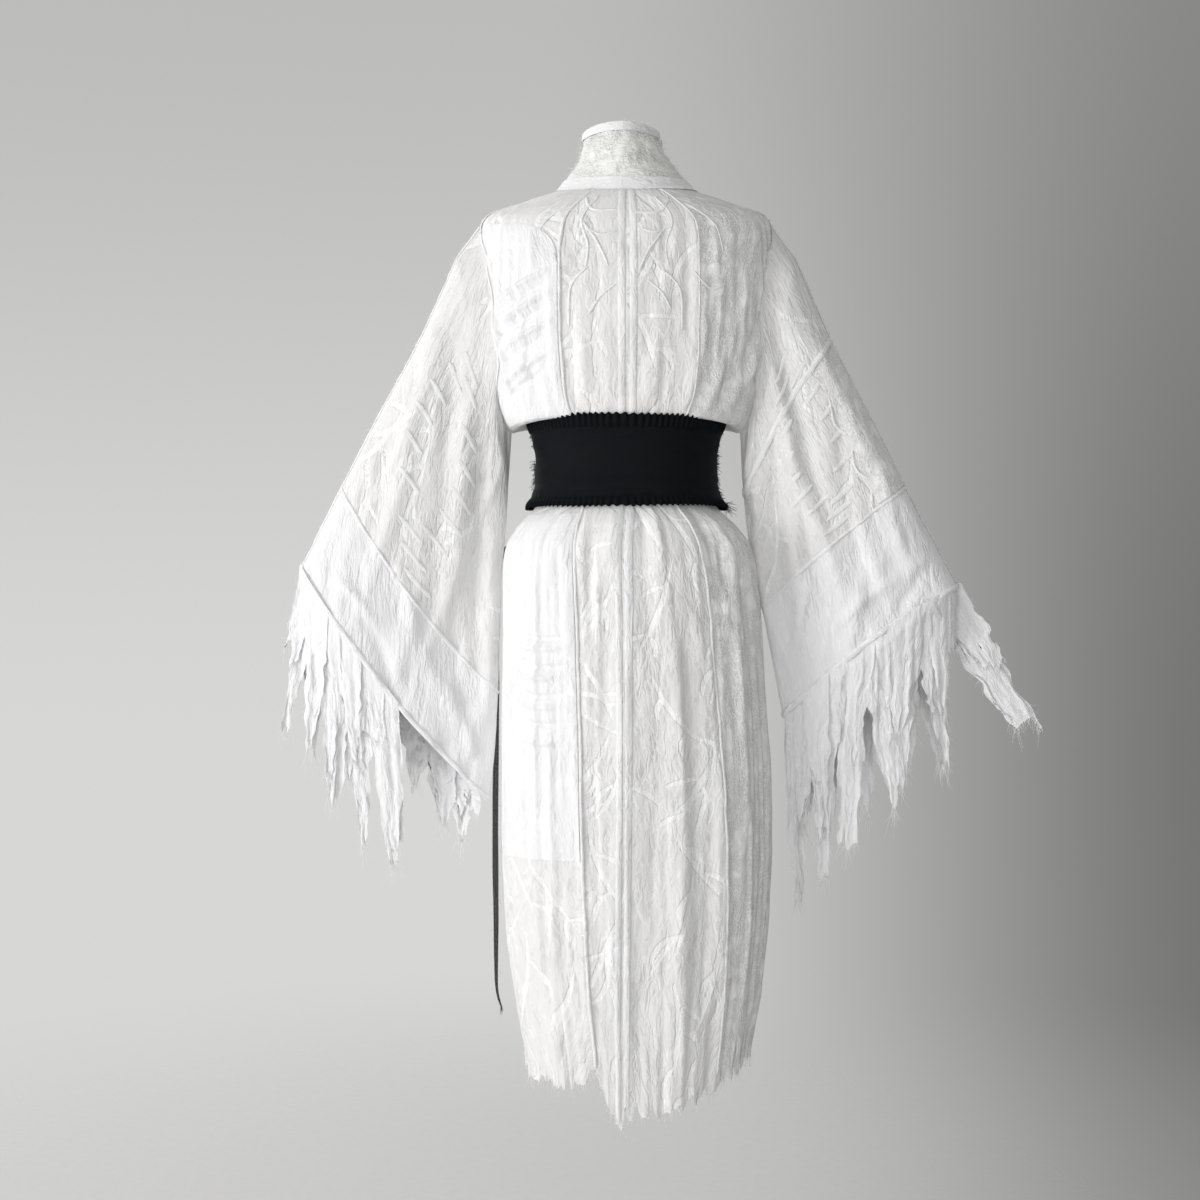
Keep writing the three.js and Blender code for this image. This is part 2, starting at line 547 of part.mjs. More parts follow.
/** Adds one named piece of the robe. */
function add(name, geometry, material) {
  const mesh = new THREE.Mesh(geometry, material);
  mesh.name = name;
  robe.add(mesh);
}

/** Adds a cloth piece from its grid and hands the grid on, for the pieces that lie on it. */
function addCloth(name, grid, material, thickness = GAUZE) {
  add(name, wall(grid, thickness), material);
  return grid;
}

const centreSeam = (row) => seamAngle(SEAM_CENTRE, row);
const leftSeam = (row) => seamAngle(SEAM_LEFT, row);
const rightSeam = (row) => seamAngle(SEAM_RIGHT, row);
const frontSeam = (row) =>
  row < ROW.yoke ? frontEdge(row) : Math.min(seamAngle(SEAM_FRONT, row), frontEdge(row) - OVERLAP_TIP);
const armBack = (row) => armholeEdge(row, 1);
const armFront = (row) => armholeEdge(row, -1);
const mirrored = (edge) => (row) => -edge(row);

const centreLeft = addCloth("back_centre_left", bodyGrid({ columns: 3, left: centreSeam, right: leftSeam }), sheer);
const centreRight = addCloth("back_centre_right", bodyGrid({ columns: 3, left: rightSeam, right: centreSeam }), sheer);
const sideLeft = addCloth("back_side_left", bodyGrid({ columns: 6, left: leftSeam, right: armBack }), sheer);
addCloth("back_side_right", bodyGrid({ columns: 6, left: mirrored(armBack), right: rightSeam }), lace);
addCloth("front_left", bodyGrid({ columns: 5, left: armFront, right: frontSeam, lift: overlapLift }), sheer);
addCloth("front_right", bodyGrid({ columns: 5, left: mirrored(frontSeam), right: mirrored(armFront) }), lace);

// The overlap panels taper almost to a point at the yoke, where the front seam meets the front edge.
const overlap = { from: ROW.yoke, columns: 5 };
addCloth("overlap_left", bodyGrid({ ...overlap, left: frontSeam, right: frontEdge, lift: overlapLift }), sheer);
addCloth("overlap_right", bodyGrid({ ...overlap, left: mirrored(frontEdge), right: mirrored(frontSeam) }), lace);

// Opaque patches and the centre back bindings are made from the panels' own points, moved out.
const laidLift = (under, own) => under / 2 + LAYER + own / 2;
const onBody = laidLift(GAUZE, GAUZE);
const belt = STATIONS.indexOf(ROW.belt_foot);
addCloth("patch_shoulder_left", laidOn(sideLeft, [2, STATIONS.indexOf(ROW.blouse)], [0.1, 5], onBody), cotton);
addCloth("patch_skirt_left", laidOn(sideLeft, [belt + 1, STATIONS.indexOf(ROW.knee) + 0.4], [0.1, 5], onBody), cotton);
const bindingLift = laidLift(GAUZE, DOUBLED);
const bindingRows = [0.1, STATIONS.length - 1.05];
addCloth("back_binding_left", laidOn(centreLeft, bindingRows, [0, 0.35], bindingLift), cotton, DOUBLED);
addCloth("back_binding_right", laidOn(centreRight, bindingRows, [2.65, 3], bindingLift), cotton, DOUBLED);

const collarRuns = 34;
const bindingShare = COLLAR_BINDING / COLLAR_BACK_REACH;
const collarCuts = [0.02, 0.02 + bindingShare * 1.3, 0.5, 1 - bindingShare, 1]; // columns across the collar
const collarGrid = Array.from({ length: collarRuns + 1 }, (_, run) => {
  const share = lerp(0.985, -0.985, run / collarRuns);
  return collarCuts.map((across) => collarPoint(Math.abs(share), across, share >= 0 ? 1 : -1));
});
const collarLift = -laidLift(DOUBLED, DOUBLED);
const wholeCollar = [0, collarRuns];
addCloth("collar", collarGrid, lace, DOUBLED);
addCloth("collar_top_binding", laidOn(collarGrid, wholeCollar, [3, 4], collarLift), cotton, DOUBLED);
addCloth("collar_base_binding", laidOn(collarGrid, wholeCollar, [0, 1], collarLift), cotton, DOUBLED);

const JOIN_GAP = 0.02; // share of a station left open at a seam round a sleeve
const CAP_STATION = 0.95; // where the right sleeve's cap is sewn to its upper part
const round = { ring: true };
add("sleeve_upper_left", wall(sleeveLoops(SLEEVE_LEFT, 1, -1, JOIN_STATION - JOIN_GAP, 7), GAUZE, round), sheer);
add("sleeve_cap_right", wall(sleeveLoops(SLEEVE_RIGHT, -1, -1, CAP_STATION - JOIN_GAP, 4), GAUZE, round), sheer);
const upperRight = sleeveLoops(SLEEVE_RIGHT, -1, CAP_STATION, JOIN_STATION - JOIN_GAP, 3);
add("sleeve_upper_right", wall(upperRight, GAUZE, round), sheer);
addCloth("sleeve_lace_right", laidOn(upperRight, [0, 2.9], [0.4, 3], onBody), lace);
for (const [side, table, mirror] of [["left", SLEEVE_LEFT, 1], ["right", SLEEVE_RIGHT, -1]]) {
  const lower = sleeveLoops(table, mirror, JOIN_STATION, table.length - 1, 3);
  add(`sleeve_lower_${side}`, wall(lower, GAUZE, round), cotton);
  add(`torn_strips_back_${side}`, tornStrips(table, STRIPS[side].back, mirror, 1), cotton);
  add(`torn_strips_front_${side}`, tornStrips(table, STRIPS[side].front, mirror, -1), cotton);
}

const beltSide = 93; // angle of the belt's side seams, just forward of the hips
add("belt_back", beltPanel(-beltSide + 0.2, beltSide - 0.2), blackKnit);
add("belt_front", beltPanel(beltSide + 0.2, 360 - beltSide - 0.2), blackKnit);
add("belt_frill_top", beltFrill(0.21, -0.25), blackKnit);
add("belt_frill_foot", beltFrill(3.79, 4.25), blackKnit);
add("belt_tie", tie(), blackKnit);

export default robe;
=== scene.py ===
"""Looks of a torn cotton-gauze yukata robe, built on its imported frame.

Metres, +Z up. The robe faces -Y, the wearer's left is +X, and the origin lies between the
shoulders. Every cloth piece is a fine sheet on the worn surface that its solid follows.
"""
import logging
import math
from dataclasses import dataclass, field
from enum import Enum
from typing import Callable, ClassVar, Sequence

import bpy
import numpy as np
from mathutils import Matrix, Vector


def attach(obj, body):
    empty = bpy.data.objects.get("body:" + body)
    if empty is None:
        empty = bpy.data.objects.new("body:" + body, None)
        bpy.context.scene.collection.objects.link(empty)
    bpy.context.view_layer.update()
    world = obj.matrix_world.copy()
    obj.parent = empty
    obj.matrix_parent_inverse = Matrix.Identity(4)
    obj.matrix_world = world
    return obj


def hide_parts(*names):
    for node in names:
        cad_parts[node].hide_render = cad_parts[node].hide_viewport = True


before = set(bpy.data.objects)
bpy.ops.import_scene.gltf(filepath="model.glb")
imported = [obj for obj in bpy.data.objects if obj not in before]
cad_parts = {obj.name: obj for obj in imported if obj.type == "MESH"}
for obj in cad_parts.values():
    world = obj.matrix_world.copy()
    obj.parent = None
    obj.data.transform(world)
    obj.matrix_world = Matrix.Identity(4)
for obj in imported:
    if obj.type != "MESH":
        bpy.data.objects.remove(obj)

log = logging.getLogger("robe")
Array = np.ndarray
Edge = Callable[[Array], Array]
Triple = tuple[float, float, float]

MM = 0.001
PITCH = 3.6 * MM  # spacing of the cloth's mesh
LAYER = 1.5 * MM  # how far a patch or a binding stands off what it lies on
SQUARENESS = 2.3  # exponent of the superellipse rings
OVERLAP_LIFT = 5 * MM  # the left front stands off the right one
NECK_EDGE = 118.0  # angle at which the front edge leaves the shoulder
CROSSING = 12.0  # degrees by which each front edge passes the centre front at the belt
WRAP = 42.0  # and at the hem
BINDING_HALF = 5.5 * MM
THREAD_WIDTH = 0.45 * MM
FINE_PITCH = 2.4 * MM  # mesh spacing of the patches, whose pleats are narrow
FAR_FROM_MOTIF = -12.0  # the motif field in mm where no motif is near


# ---------------------------------------------------------------- small maths
def smooth(a: float, b: float, t: Array) -> Array:
    """Smooth step of t from 0 at a to 1 at b."""
    x = np.clip((np.asarray(t, float) - a) / (b - a), 0, 1)
    return x * x * (3 - 2 * x)


def mix(a: Array, b: Array, t: Array) -> Array:
    """Straight-line blend from a to b."""
    return a + (b - a) * t


def unit(v: Array) -> Array:
    """Vectors of length one, along the last axis."""
    return v / np.maximum(np.linalg.norm(v, axis=-1, keepdims=True), 1e-12)


def run_length(line: Array) -> Array:
    """Length in metres from the start of a line to each of its points."""
    return np.concatenate([[0], np.cumsum(np.linalg.norm(np.diff(line, axis=0), axis=-1))])


def through(values: Sequence[float], at: Array) -> Array:
    """Smooth curve through a table's column, at fractional rows.

    Args:
        values: the column.
        at: fractional row numbers.

    Returns:
        The column's value at each of them.
    """
    table = np.asarray(values, float)
    at = np.asarray(at, float)
    last = len(table) - 1
    i = np.clip(np.floor(at), 0, last - 1).astype(int)
    t = at - i
    p0, p1 = table[np.clip(i - 1, 0, last)], table[i]
    p2, p3 = table[i + 1], table[np.clip(i + 2, 0, last)]
    m1, m2 = (p2 - p0) / 2, (p3 - p1) / 2
    t2, t3 = t * t, t * t * t
    return (2 * t3 - 3 * t2 + 1) * p1 + (t3 - 2 * t2 + t) * m1 + (3 * t2 - 2 * t3) * p2 + (t3 - t2) * m2


class Ripple:
    """Smooth seeded noise over a plane, from -1 to 1, with its own cell size each way."""

    SIZE = 512

    def __init__(self, seed: int) -> None:
        self.lattice = np.random.default_rng(seed).uniform(-1, 1, (self.SIZE, self.SIZE))

    def __call__(self, u: Array, v: Array, cell_u: float, cell_v: float) -> Array:
        """Noise at points (u, v), with cells of the given width and length."""
        a, b = np.broadcast_arrays(np.asarray(u, float) / cell_u, np.asarray(v, float) / cell_v)
        i, j = np.floor(a).astype(int), np.floor(b).astype(int)
        s, t = a - i, b - j
        s, t = s * s * (3 - 2 * s), t * t * (3 - 2 * t)
        n = self.SIZE
        q = self.lattice
        low = mix(q[i % n, j % n], q[(i + 1) % n, j % n], s)
        high = mix(q[i % n, (j + 1) % n], q[(i + 1) % n, (j + 1) % n], s)
        return mix(low, high, t)


# ---------------------------------------------------------------- the worn body
@dataclass(frozen=True)
class Ring:
    """One ring of the worn body, in millimetres; armhole is in degrees."""

    name: str
    z_back: float
    z_side: float
    z_front: float
    half: float
    back: float
    front: float
    shift: float = 0
    armhole: float = 0


RINGS = (
    Ring("neck", -8, -1, -6, 98, 68, 52),
    Ring("yoke", -28, -17, -28, 148, 85, 72),
    Ring("shoulder", -62, -41, -60, 205, 99, 86, 0, 1),
    Ring("blade", -120, -102, -118, 213, 110, 99, 0, 20),
    Ring("chest", -185, -180, -182, 211, 114, 105, 0, 27),
    Ring("rib", -255, -258, -250, 204, 111, 104, 0, 26),
    Ring("armpit", -310, -318, -306, 188, 106, 102, 0, 15),
    Ring("blouse", -335, -353, -333, 167, 101, 99),
    Ring("tuck", -338, -337, -338, 130, 92, 91),
    Ring("waist", -402, -402, -402, 121, 87, 87),
    Ring("belt_foot", -455, -455, -455, 129, 93, 92),
    Ring("flare", -492, -492, -492, 160, 112, 103, -2),
    Ring("hip", -534, -530, -534, 178, 123, 109, -3),
    Ring("seat", -620, -620, -620, 184, 128, 113, -7),
    Ring("thigh", -745, -745, -745, 190, 126, 115, -11),
    Ring("knee", -900, -900, -900, 193, 122, 114, -14),
    Ring("calf", -1050, -1050, -1045, 189, 118, 111, -15),
    Ring("shin", -1170, -1165, -1140, 176, 114, 108, -15),
    Ring("hem", -1300, -1265, -1225, 160, 110, 106, -15),
)
ROW = {ring.name: i for i, ring in enumerate(RINGS)}
LAST = ROW["hem"]

# Lowest reach of the torn hem: angle round the body (0 is the centre back) and height in mm.
HEM = (
    (-180, -1222), (-125, -1200), (-98, -1206), (-80, -1262), (-62, -1256), (-45, -1282),
    (-26, -1308), (-8, -1318), (6, -1332), (12, -1316), (18, -1272), (32, -1284), (52, -1278),
    (75, -1270), (90, -1262), (130, -1236), (180, -1222), (240, -1214),
)


@dataclass(frozen=True)
class Fold:
    """A soft lengthwise ridge of the skirt: its angle at belt and hem, height in mm, width in degrees."""

    belt: float
    hem: float
    height: float
    spread: float


FOLDS = (
    Fold(-13, -17, 3, 8), Fold(-44, -55, 6, 11), Fold(-70, -80, 5, 12), Fold(48, 38, 4, 11),
    Fold(72, 66, 5, 12), Fold(104, 100, 5, 12), Fold(134, 128, 4, 11), Fold(200, 206, 4, 12),
    Fold(228, 236, 5, 12), Fold(256, 258, 5, 12),
)


@dataclass(frozen=True)
class Crease:
    """A crease from one place to another: a ridge, or a trough where height is negative.

    Places are (angle in degrees, height in mm); height and width of the crease are in mm.
    """

    start: tuple[float, float]
    end: tuple[float, float]
    height: float
    width: float
    bow: float = 0  # how far its middle sags, in mm


CREASES = (
    # pleats across the patch behind the left shoulder, rising towards the centre
    Crease((58, -172), (26, -130), 5.4, 3.6), Crease((60, -190), (27, -148), -4.9, 3.6),
    Crease((58, -208), (27, -164), 5.9, 3.6), Crease((60, -226), (28, -182), -5.4, 4),
    Crease((58, -246), (27, -204), 5.9, 4), Crease((60, -266), (30, -224), -4.9, 4),
    Crease((58, -290), (28, -246), 5.7, 4), Crease((60, -312), (30, -270), -4.6, 4),
    Crease((74, -120), (52, -330), 5.0, 11, 8), Crease((66, -110), (62, -330), -4.0, 10),
    # drag lines from the right arm to the belt
    Crease((-84, -110), (-46, -334), 4.5, 12, 10), Crease((-74, -100), (-38, -330), -3.5, 11, 8),
    Crease((-64, -90), (-58, -320), 4.0, 10), Crease((-52, -140), (-34, -334), 3.0, 9),
    Crease((-30, -180), (-24, -334), 2.6, 8), Crease((-16, -210), (-14, -334), -2.2, 7),
    Crease((-8, -240), (-6, -334), 2.2, 7), Crease((14, -230), (13, -334), 2.4, 8),
    Crease((-40, -230), (-44, -334), -3.0, 9),
    # short pulls under the belt
    Crease((-10, -462), (-12, -560), 3.6, 8), Crease((-5, -462), (-2, -600), -3.0, 8),
    Crease((-44, -464), (-56, -566), 5.5, 11), Crease((-36, -464), (-46, -600), -4.0, 10),
    Crease((-58, -464), (-70, -640), 5.0, 12), Crease((30, -464), (36, -580), 2.4, 9),
    Crease((50, -464), (62, -560), 3.0, 10), Crease((4, -462), (8, -560), 2.6, 7),
    Crease((16, -462), (17, -640), -2.6, 8), Crease((-24, -462), (-27, -700), 3.0, 9),
    # flat tucks across the left side of the skirt
    Crease((58, -640), (26, -648), -4.4, 3.6, -6), Crease((62, -654), (26, -662), 4.2, 3.6, -6),
    Crease((60, -676), (26, -688), -4.7, 3.6, -8), Crease((64, -692), (28, -702), 4.2, 3.6, -8),
    Crease((62, -716), (26, -726), -4.4, 3.6, -10), Crease((60, -732), (28, -744), 3.9, 3.6, -8),
    Crease((58, -758), (28, -768), -3.9, 3.6, -8), Crease((56, -786), (30, -796), 3.4, 3.6, -6),
    # long soft waves of the skirt
    Crease((22, -800), (20, -1240), 3.0, 9), Crease((2, -640), (10, -1290), 3.2, 9),
    Crease((-8, -700), (-4, -1290), -3.0, 10), Crease((-20, -620), (-28, -1280), -3.4, 10),
    Crease((-32, -760), (-40, -1270), 4.2, 10), Crease((-52, -700), (-62, -1240), -3.6, 12),
    Crease((44, -820), (36, -1260), -2.8, 10), Crease((-14, -900), (-18, -1300), 2.8, 8),
)


class WornBody:
    """The worn surface: points at an angle round the body and a fractional ring."""

    def __init__(self, rings: Sequence[Ring]) -> None:
        self.rings = rings
        self.fine = Ripple(11)
        self.broad = Ripple(12)
        self.ragged = Ripple(13)

    def column(self, name: str, row: Array) -> Array:
        """A column of the ring table at fractional rows, in its own units."""
        return through([getattr(ring, name) for ring in self.rings], row)

    def level(self, angle: Array, row: Array) -> Array:
        """Height of the ring in metres, before the hem is torn."""
        facing = np.cos(np.radians(angle))
        face = np.where(facing >= 0, self.column("z_back", row), self.column("z_front", row))
        return MM * mix(face, self.column("z_side", row), 1 - np.abs(facing))

    def hem(self, angle: Array) -> Array:
        """Height of the torn hem in metres, with its notches and hanging points."""
        wrapped = np.where(angle < -180, angle + 360, angle)
        smooth_hem = np.interp(wrapped, [a for a, _ in HEM], [z for _, z in HEM]) * MM
        jag = self.ragged(wrapped, 0 * wrapped, 3.1, 1) * 9
        jag = jag + self.ragged(wrapped, 5 + 0 * wrapped, 1.1, 1) * 5
        notch = np.maximum(0, self.ragged(wrapped, 9 + 0 * wrapped, 2.3, 1) - 0.45) * 42
        return smooth_hem + MM * (jag + notch)

    def height(self, angle: Array, row: Array) -> Array:
        """Height in metres at an angle and a row, torn hem included."""
        shin = ROW["shin"]
        plain = self.level(angle, np.minimum(row, shin))
        return np.where(row <= shin, plain, mix(plain, self.hem(angle), np.clip(row - shin, 0, 1)))

    def folds(self, angle: Array, row: Array) -> Array:
        """How far the skirt's long folds stand out, in metres."""
        down = (row - ROW["belt_foot"]) / (LAST - ROW["belt_foot"])
        total = np.zeros(np.broadcast(angle, row).shape)
        for fold in FOLDS:
            away = ((angle - mix(fold.belt, fold.hem, down) + 540) % 360 - 180) / fold.spread
            bump = np.cos(np.clip(away, -1, 1) * math.pi / 2) ** 2
            total = total + fold.height * smooth(0, 0.25, down) * bump
        return total * MM

    def relief(self, angle: Array, row: Array) -> Array:
        """Listed creases and the crinkle of the gauze, in metres outwards."""
        z = self.level(angle, np.minimum(row, ROW["shin"])) - 0.15 * np.maximum(row - ROW["shin"], 0)
        radius = self.column("half", row) * MM * 0.75 + 0.02
        across = np.radians(angle) * radius
        total = np.zeros(across.shape)
        for crease in CREASES:
            (a0, z0), (a1, z1) = crease.start, crease.end
            middle = np.radians((a0 + a1) / 2)
            reach = np.radians((angle - np.degrees(middle) + 540) % 360 - 180) * radius
            p = np.stack([reach, z], -1)
            start = np.stack([np.radians(a0) - middle + 0 * z, 0 * z], -1) * radius[..., None]
            start[..., 1] = z0 * MM
            end = np.stack([np.radians(a1) - middle + 0 * z, 0 * z], -1) * radius[..., None]
            end[..., 1] = z1 * MM
            run = end - start
            length = np.maximum((run ** 2).sum(-1), 1e-9)
            t = ((p - start) * run).sum(-1) / length
            side = (p[..., 0] - start[..., 0]) * run[..., 1] - (p[..., 1] - start[..., 1]) * run[..., 0]
            sag = crease.bow * MM * 4 * np.clip(t, 0, 1) * (1 - np.clip(t, 0, 1))
            off = side / np.sqrt(length) - sag
            fade = smooth(-0.06, 0.25, t) * smooth(1.08, 0.7, t)
            total += crease.height * MM * fade * np.exp(-(off / (crease.width * MM)) ** 2)
        skirt = smooth(ROW["belt_foot"] - 0.2, ROW["seat"], row)
        gather = smooth(ROW["belt_foot"], ROW["flare"], row) * smooth(ROW["thigh"], ROW["flare"], row)
        bodice = smooth(1.0, 3.0, row) * smooth(ROW["tuck"] - 0.6, ROW["armpit"], row)
        ridge = 1 - np.abs(self.broad(angle, z, 5.0, 0.34))
        total += MM * skirt * (3.4 * (ridge - 0.5) + 1.7 * self.fine(angle, z, 2.3, 0.12))
        total += MM * gather * 2.8 * self.fine(angle, z, 2.9, 0.09)
        pleats = 1.5 * (1 - 2 * np.abs(self.broad(angle, z, 6.5, 0.2)))
        total += MM * bodice * (1.7 * self.fine(angle, z, 3.0, 0.09) + pleats)
        total += MM * 0.7 * (skirt + bodice) * self.fine(across, z, 0.0085, 0.03)
        return total

    def point(self, angle: Array, row: Array, lift: Array = 0.0, creased: bool = True) -> Array:
        """Points of the worn surface.

        Args:
            angle: degrees round the body from the centre back, towards the wearer's left.
            row: fractional ring.
            lift: metres outwards.
            creased: whether the creases are on it.

        Returns:
            The points, in metres.
        """
        angle, row = np.broadcast_arrays(np.asarray(angle, float), np.asarray(row, float))
        a = np.radians(angle)
        out = lift + self.folds(angle, row) + (self.relief(angle, row) if creased else 0)
        shaped = lambda v: np.sign(v) * np.abs(v) ** (2 / SQUARENESS)
        depth = np.where(np.cos(a) >= 0, self.column("back", row), self.column("front", row)) * MM
        x = self.column("shift", row) * MM + (self.column("half", row) * MM + out) * shaped(np.sin(a))
        return np.stack([x, (depth + out) * shaped(np.cos(a)), self.height(angle, row)], -1)

    def row_at(self, angle: float, height: float) -> float:
        """The row at which the surface stands at a height in millimetres."""
        probe = np.linspace(0, LAST - 1, 900)
        return float(probe[np.argmin(np.abs(self.level(angle, probe) - height * MM))])

    def rows(self, start: float, end: float, pitch: float = PITCH) -> Array:
        """Rows between two rings, evenly spaced along the cloth at the centre back."""
        probe = np.linspace(start, end, 600)
        line = self.point(20.0, probe, creased=False)
        length = run_length(line)
        count = max(4, int(length[-1] / pitch))
        return np.interp(np.linspace(0, length[-1], count + 1), length, probe)


BODY = WornBody(RINGS)


@dataclass(frozen=True)
class SeamLine:
    """A lengthwise seam as an angle at the neck, the belt and the hem."""

    neck: float
    belt: float
    hem: float

    def __call__(self, row: Array) -> Array:
        """Angle at fractional rows."""
        waist = ROW["waist"]
        above = mix(self.neck, self.belt, row / waist)
        below = mix(self.belt, self.hem, (row - waist) / (LAST - waist))
        return np.where(row <= waist, above, below)


CENTRE = SeamLine(0, 0, 6)
LEFT = SeamLine(22, 25, 18)
RIGHT = SeamLine(-24, -27, -41)
FRONT = SeamLine(128, 146, 150)


def front_edge(row: Array) -> Array:
    """Angle of the left front's edge; the right one is its mirror image."""
    row = np.asarray(row, float)
    above = mix(NECK_EDGE, 180 + CROSSING, (np.clip(row, 0, 99) / ROW["waist"]) ** 0.9)
    below = mix(180 + CROSSING, 180 + WRAP, smooth(ROW["waist"], ROW["seat"], row))
    return np.where(row <= ROW["waist"], above, below)


def front_seam(row: Array) -> Array:
    """Angle of the seam between the left front and its overlap panel."""
    return np.where(row < ROW["yoke"], front_edge(row), np.minimum(FRONT(row), front_edge(row) - 3))


def armhole(row: Array, side: int) -> Array:
    """Angle of the armhole's edge: side is 1 on its back half and -1 on its front half."""
    return 90 - side * np.maximum(0, BODY.column("armhole", row))


def overlap_lift(angle: Array, row: Array) -> Array:
    """How far the left front stands off the right one."""
    return OVERLAP_LIFT * smooth(118, 140, angle) * smooth(0.4, 2.2, row)


# ---------------------------------------------------------------- sleeves
@dataclass(frozen=True)
class Station:
    """One section of a sleeve between its top line and its hanging edge, in millimetres."""

    top_x: float
    top_z: float
    low_x: float
    low_z: float
    swell: float
    pinch: float
    bow: float
    y: float


@dataclass(frozen=True)
class Rag:
    """A torn strip under a cuff: where it hangs, its width there, and its tip, in millimetres."""

    at: float
    width: float
    tip_x: float
    tip_z: float
    tip: float


# Drapes of each sleeve: places are (distance from the centre, height), in mm, behind and before alike.
LEFT_DRAPES = (
    Crease((262, -170), (352, -430), 6, 13, 10), Crease((240, -200), (300, -600), -6, 14, 8),
    Crease((226, -280), (268, -660), 7, 13, 6), Crease((206, -330), (220, -740), -6, 12),
    Crease((282, -240), (420, -520), -5, 12, 12), Crease((250, -380), (330, -740), 6, 15, -8),
    Crease((300, -330), (400, -640), 5, 12, 10), Crease((196, -480), (204, -800), 6, 10),
    Crease((340, -520), (300, -690), 4, 9, 8), Crease((420, -560), (350, -660), 4, 8, 8),
    Crease((300, -640), (240, -780), 5, 11, -8), Crease((380, -600), (330, -760), -4, 10, 6),
    Crease((270, -700), (215, -850), 5, 9, 6), Crease((250, -600), (236, -800), -5, 11),
)
RIGHT_DRAPES = (
    Crease((190, -190), (340, -650), 7, 14, 10), Crease((205, -170), (300, -520), -6, 13, 8),
    Crease((230, -300), (255, -650), 6, 13), Crease((212, -330), (222, -640), -6, 11),
    Crease((260, -200), (400, -470), 5, 13, 10), Crease((300, -300), (350, -600), -5, 12, 8),
    Crease((190, -400), (196, -640), 6, 10), Crease((360, -380), (410, -560), 5, 11, 6),
    Crease((400, -560), (300, -640), 4, 8, 8), Crease((440, -540), (380, -640), -4, 9, 6),
    Crease((270, -560), (240, -720), 5, 10, 6), Crease((340, -560), (320, -680), 4, 9),
)

LEFT_STATIONS = (
    Station(246, -100, 172, -424, 64, 0.45, 0, 0), Station(301, -220, 176, -500, 66, 0.65, 0, -2),
    Station(360, -330, 184, -600, 66, 0.72, 4, -3), Station(414, -434, 188, -730, 66, 0.76, 22, -4),
    Station(446, -497, 193, -815, 68, 0.76, 14, -4), Station(473, -548, 202, -886, 70, 0.72, 18, -4),
)
RIGHT_STATIONS = (
    Station(246, -100, 170, -416, 64, 0.45, 0, 0), Station(301, -224, 176, -482, 66, 0.65, 0, -2),
    Station(358, -334, 186, -540, 66, 0.7, -4, -3), Station(405, -432, 200, -606, 66, 0.72, -8, -4),
    Station(446, -508, 214, -686, 68, 0.72, -13, -4), Station(482, -575, 230, -764, 70, 0.7, -18, -4),
)
LEFT_RAGS = {
    "back": (Rag(474, 18, 495, -782, 8), Rag(443, 24, 458, -822, 9), Rag(417, 24, 424, -890, 20),
             Rag(388, 28, 386, -953, 9), Rag(352, 36, 334, -976, 13)),
    "front": (Rag(450, 30, 464, -760, 12), Rag(400, 34, 404, -860, 12), Rag(355, 32, 352, -900, 12),
              Rag(308, 34, 306, -866, 12), Rag(270, 30, 265, -915, 12), Rag(238, 22, 246, -948, 10)),
}
RIGHT_RAGS = {
    "back": (Rag(464, 40, 580, -772, 50), Rag(434, 26, 466, -834, 7), Rag(400, 28, 396, -868, 16),
             Rag(362, 32, 386, -896, 8), Rag(324, 34, 322, -958, 30), Rag(286, 30, 290, -994, 12),
             Rag(250, 30, 248, -1022, 10)),
    "front": (Rag(440, 34, 462, -824, 14), Rag(394, 34, 404, -862, 12), Rag(350, 32, 356, -906, 12),
              Rag(306, 32, 304, -912, 12), Rag(264, 30, 262, -934, 12)),
}
JOIN = 3.0  # station where the upper sleeve is sewn to the lower one
CAP = 0.95  # station where the right sleeve's cap ends


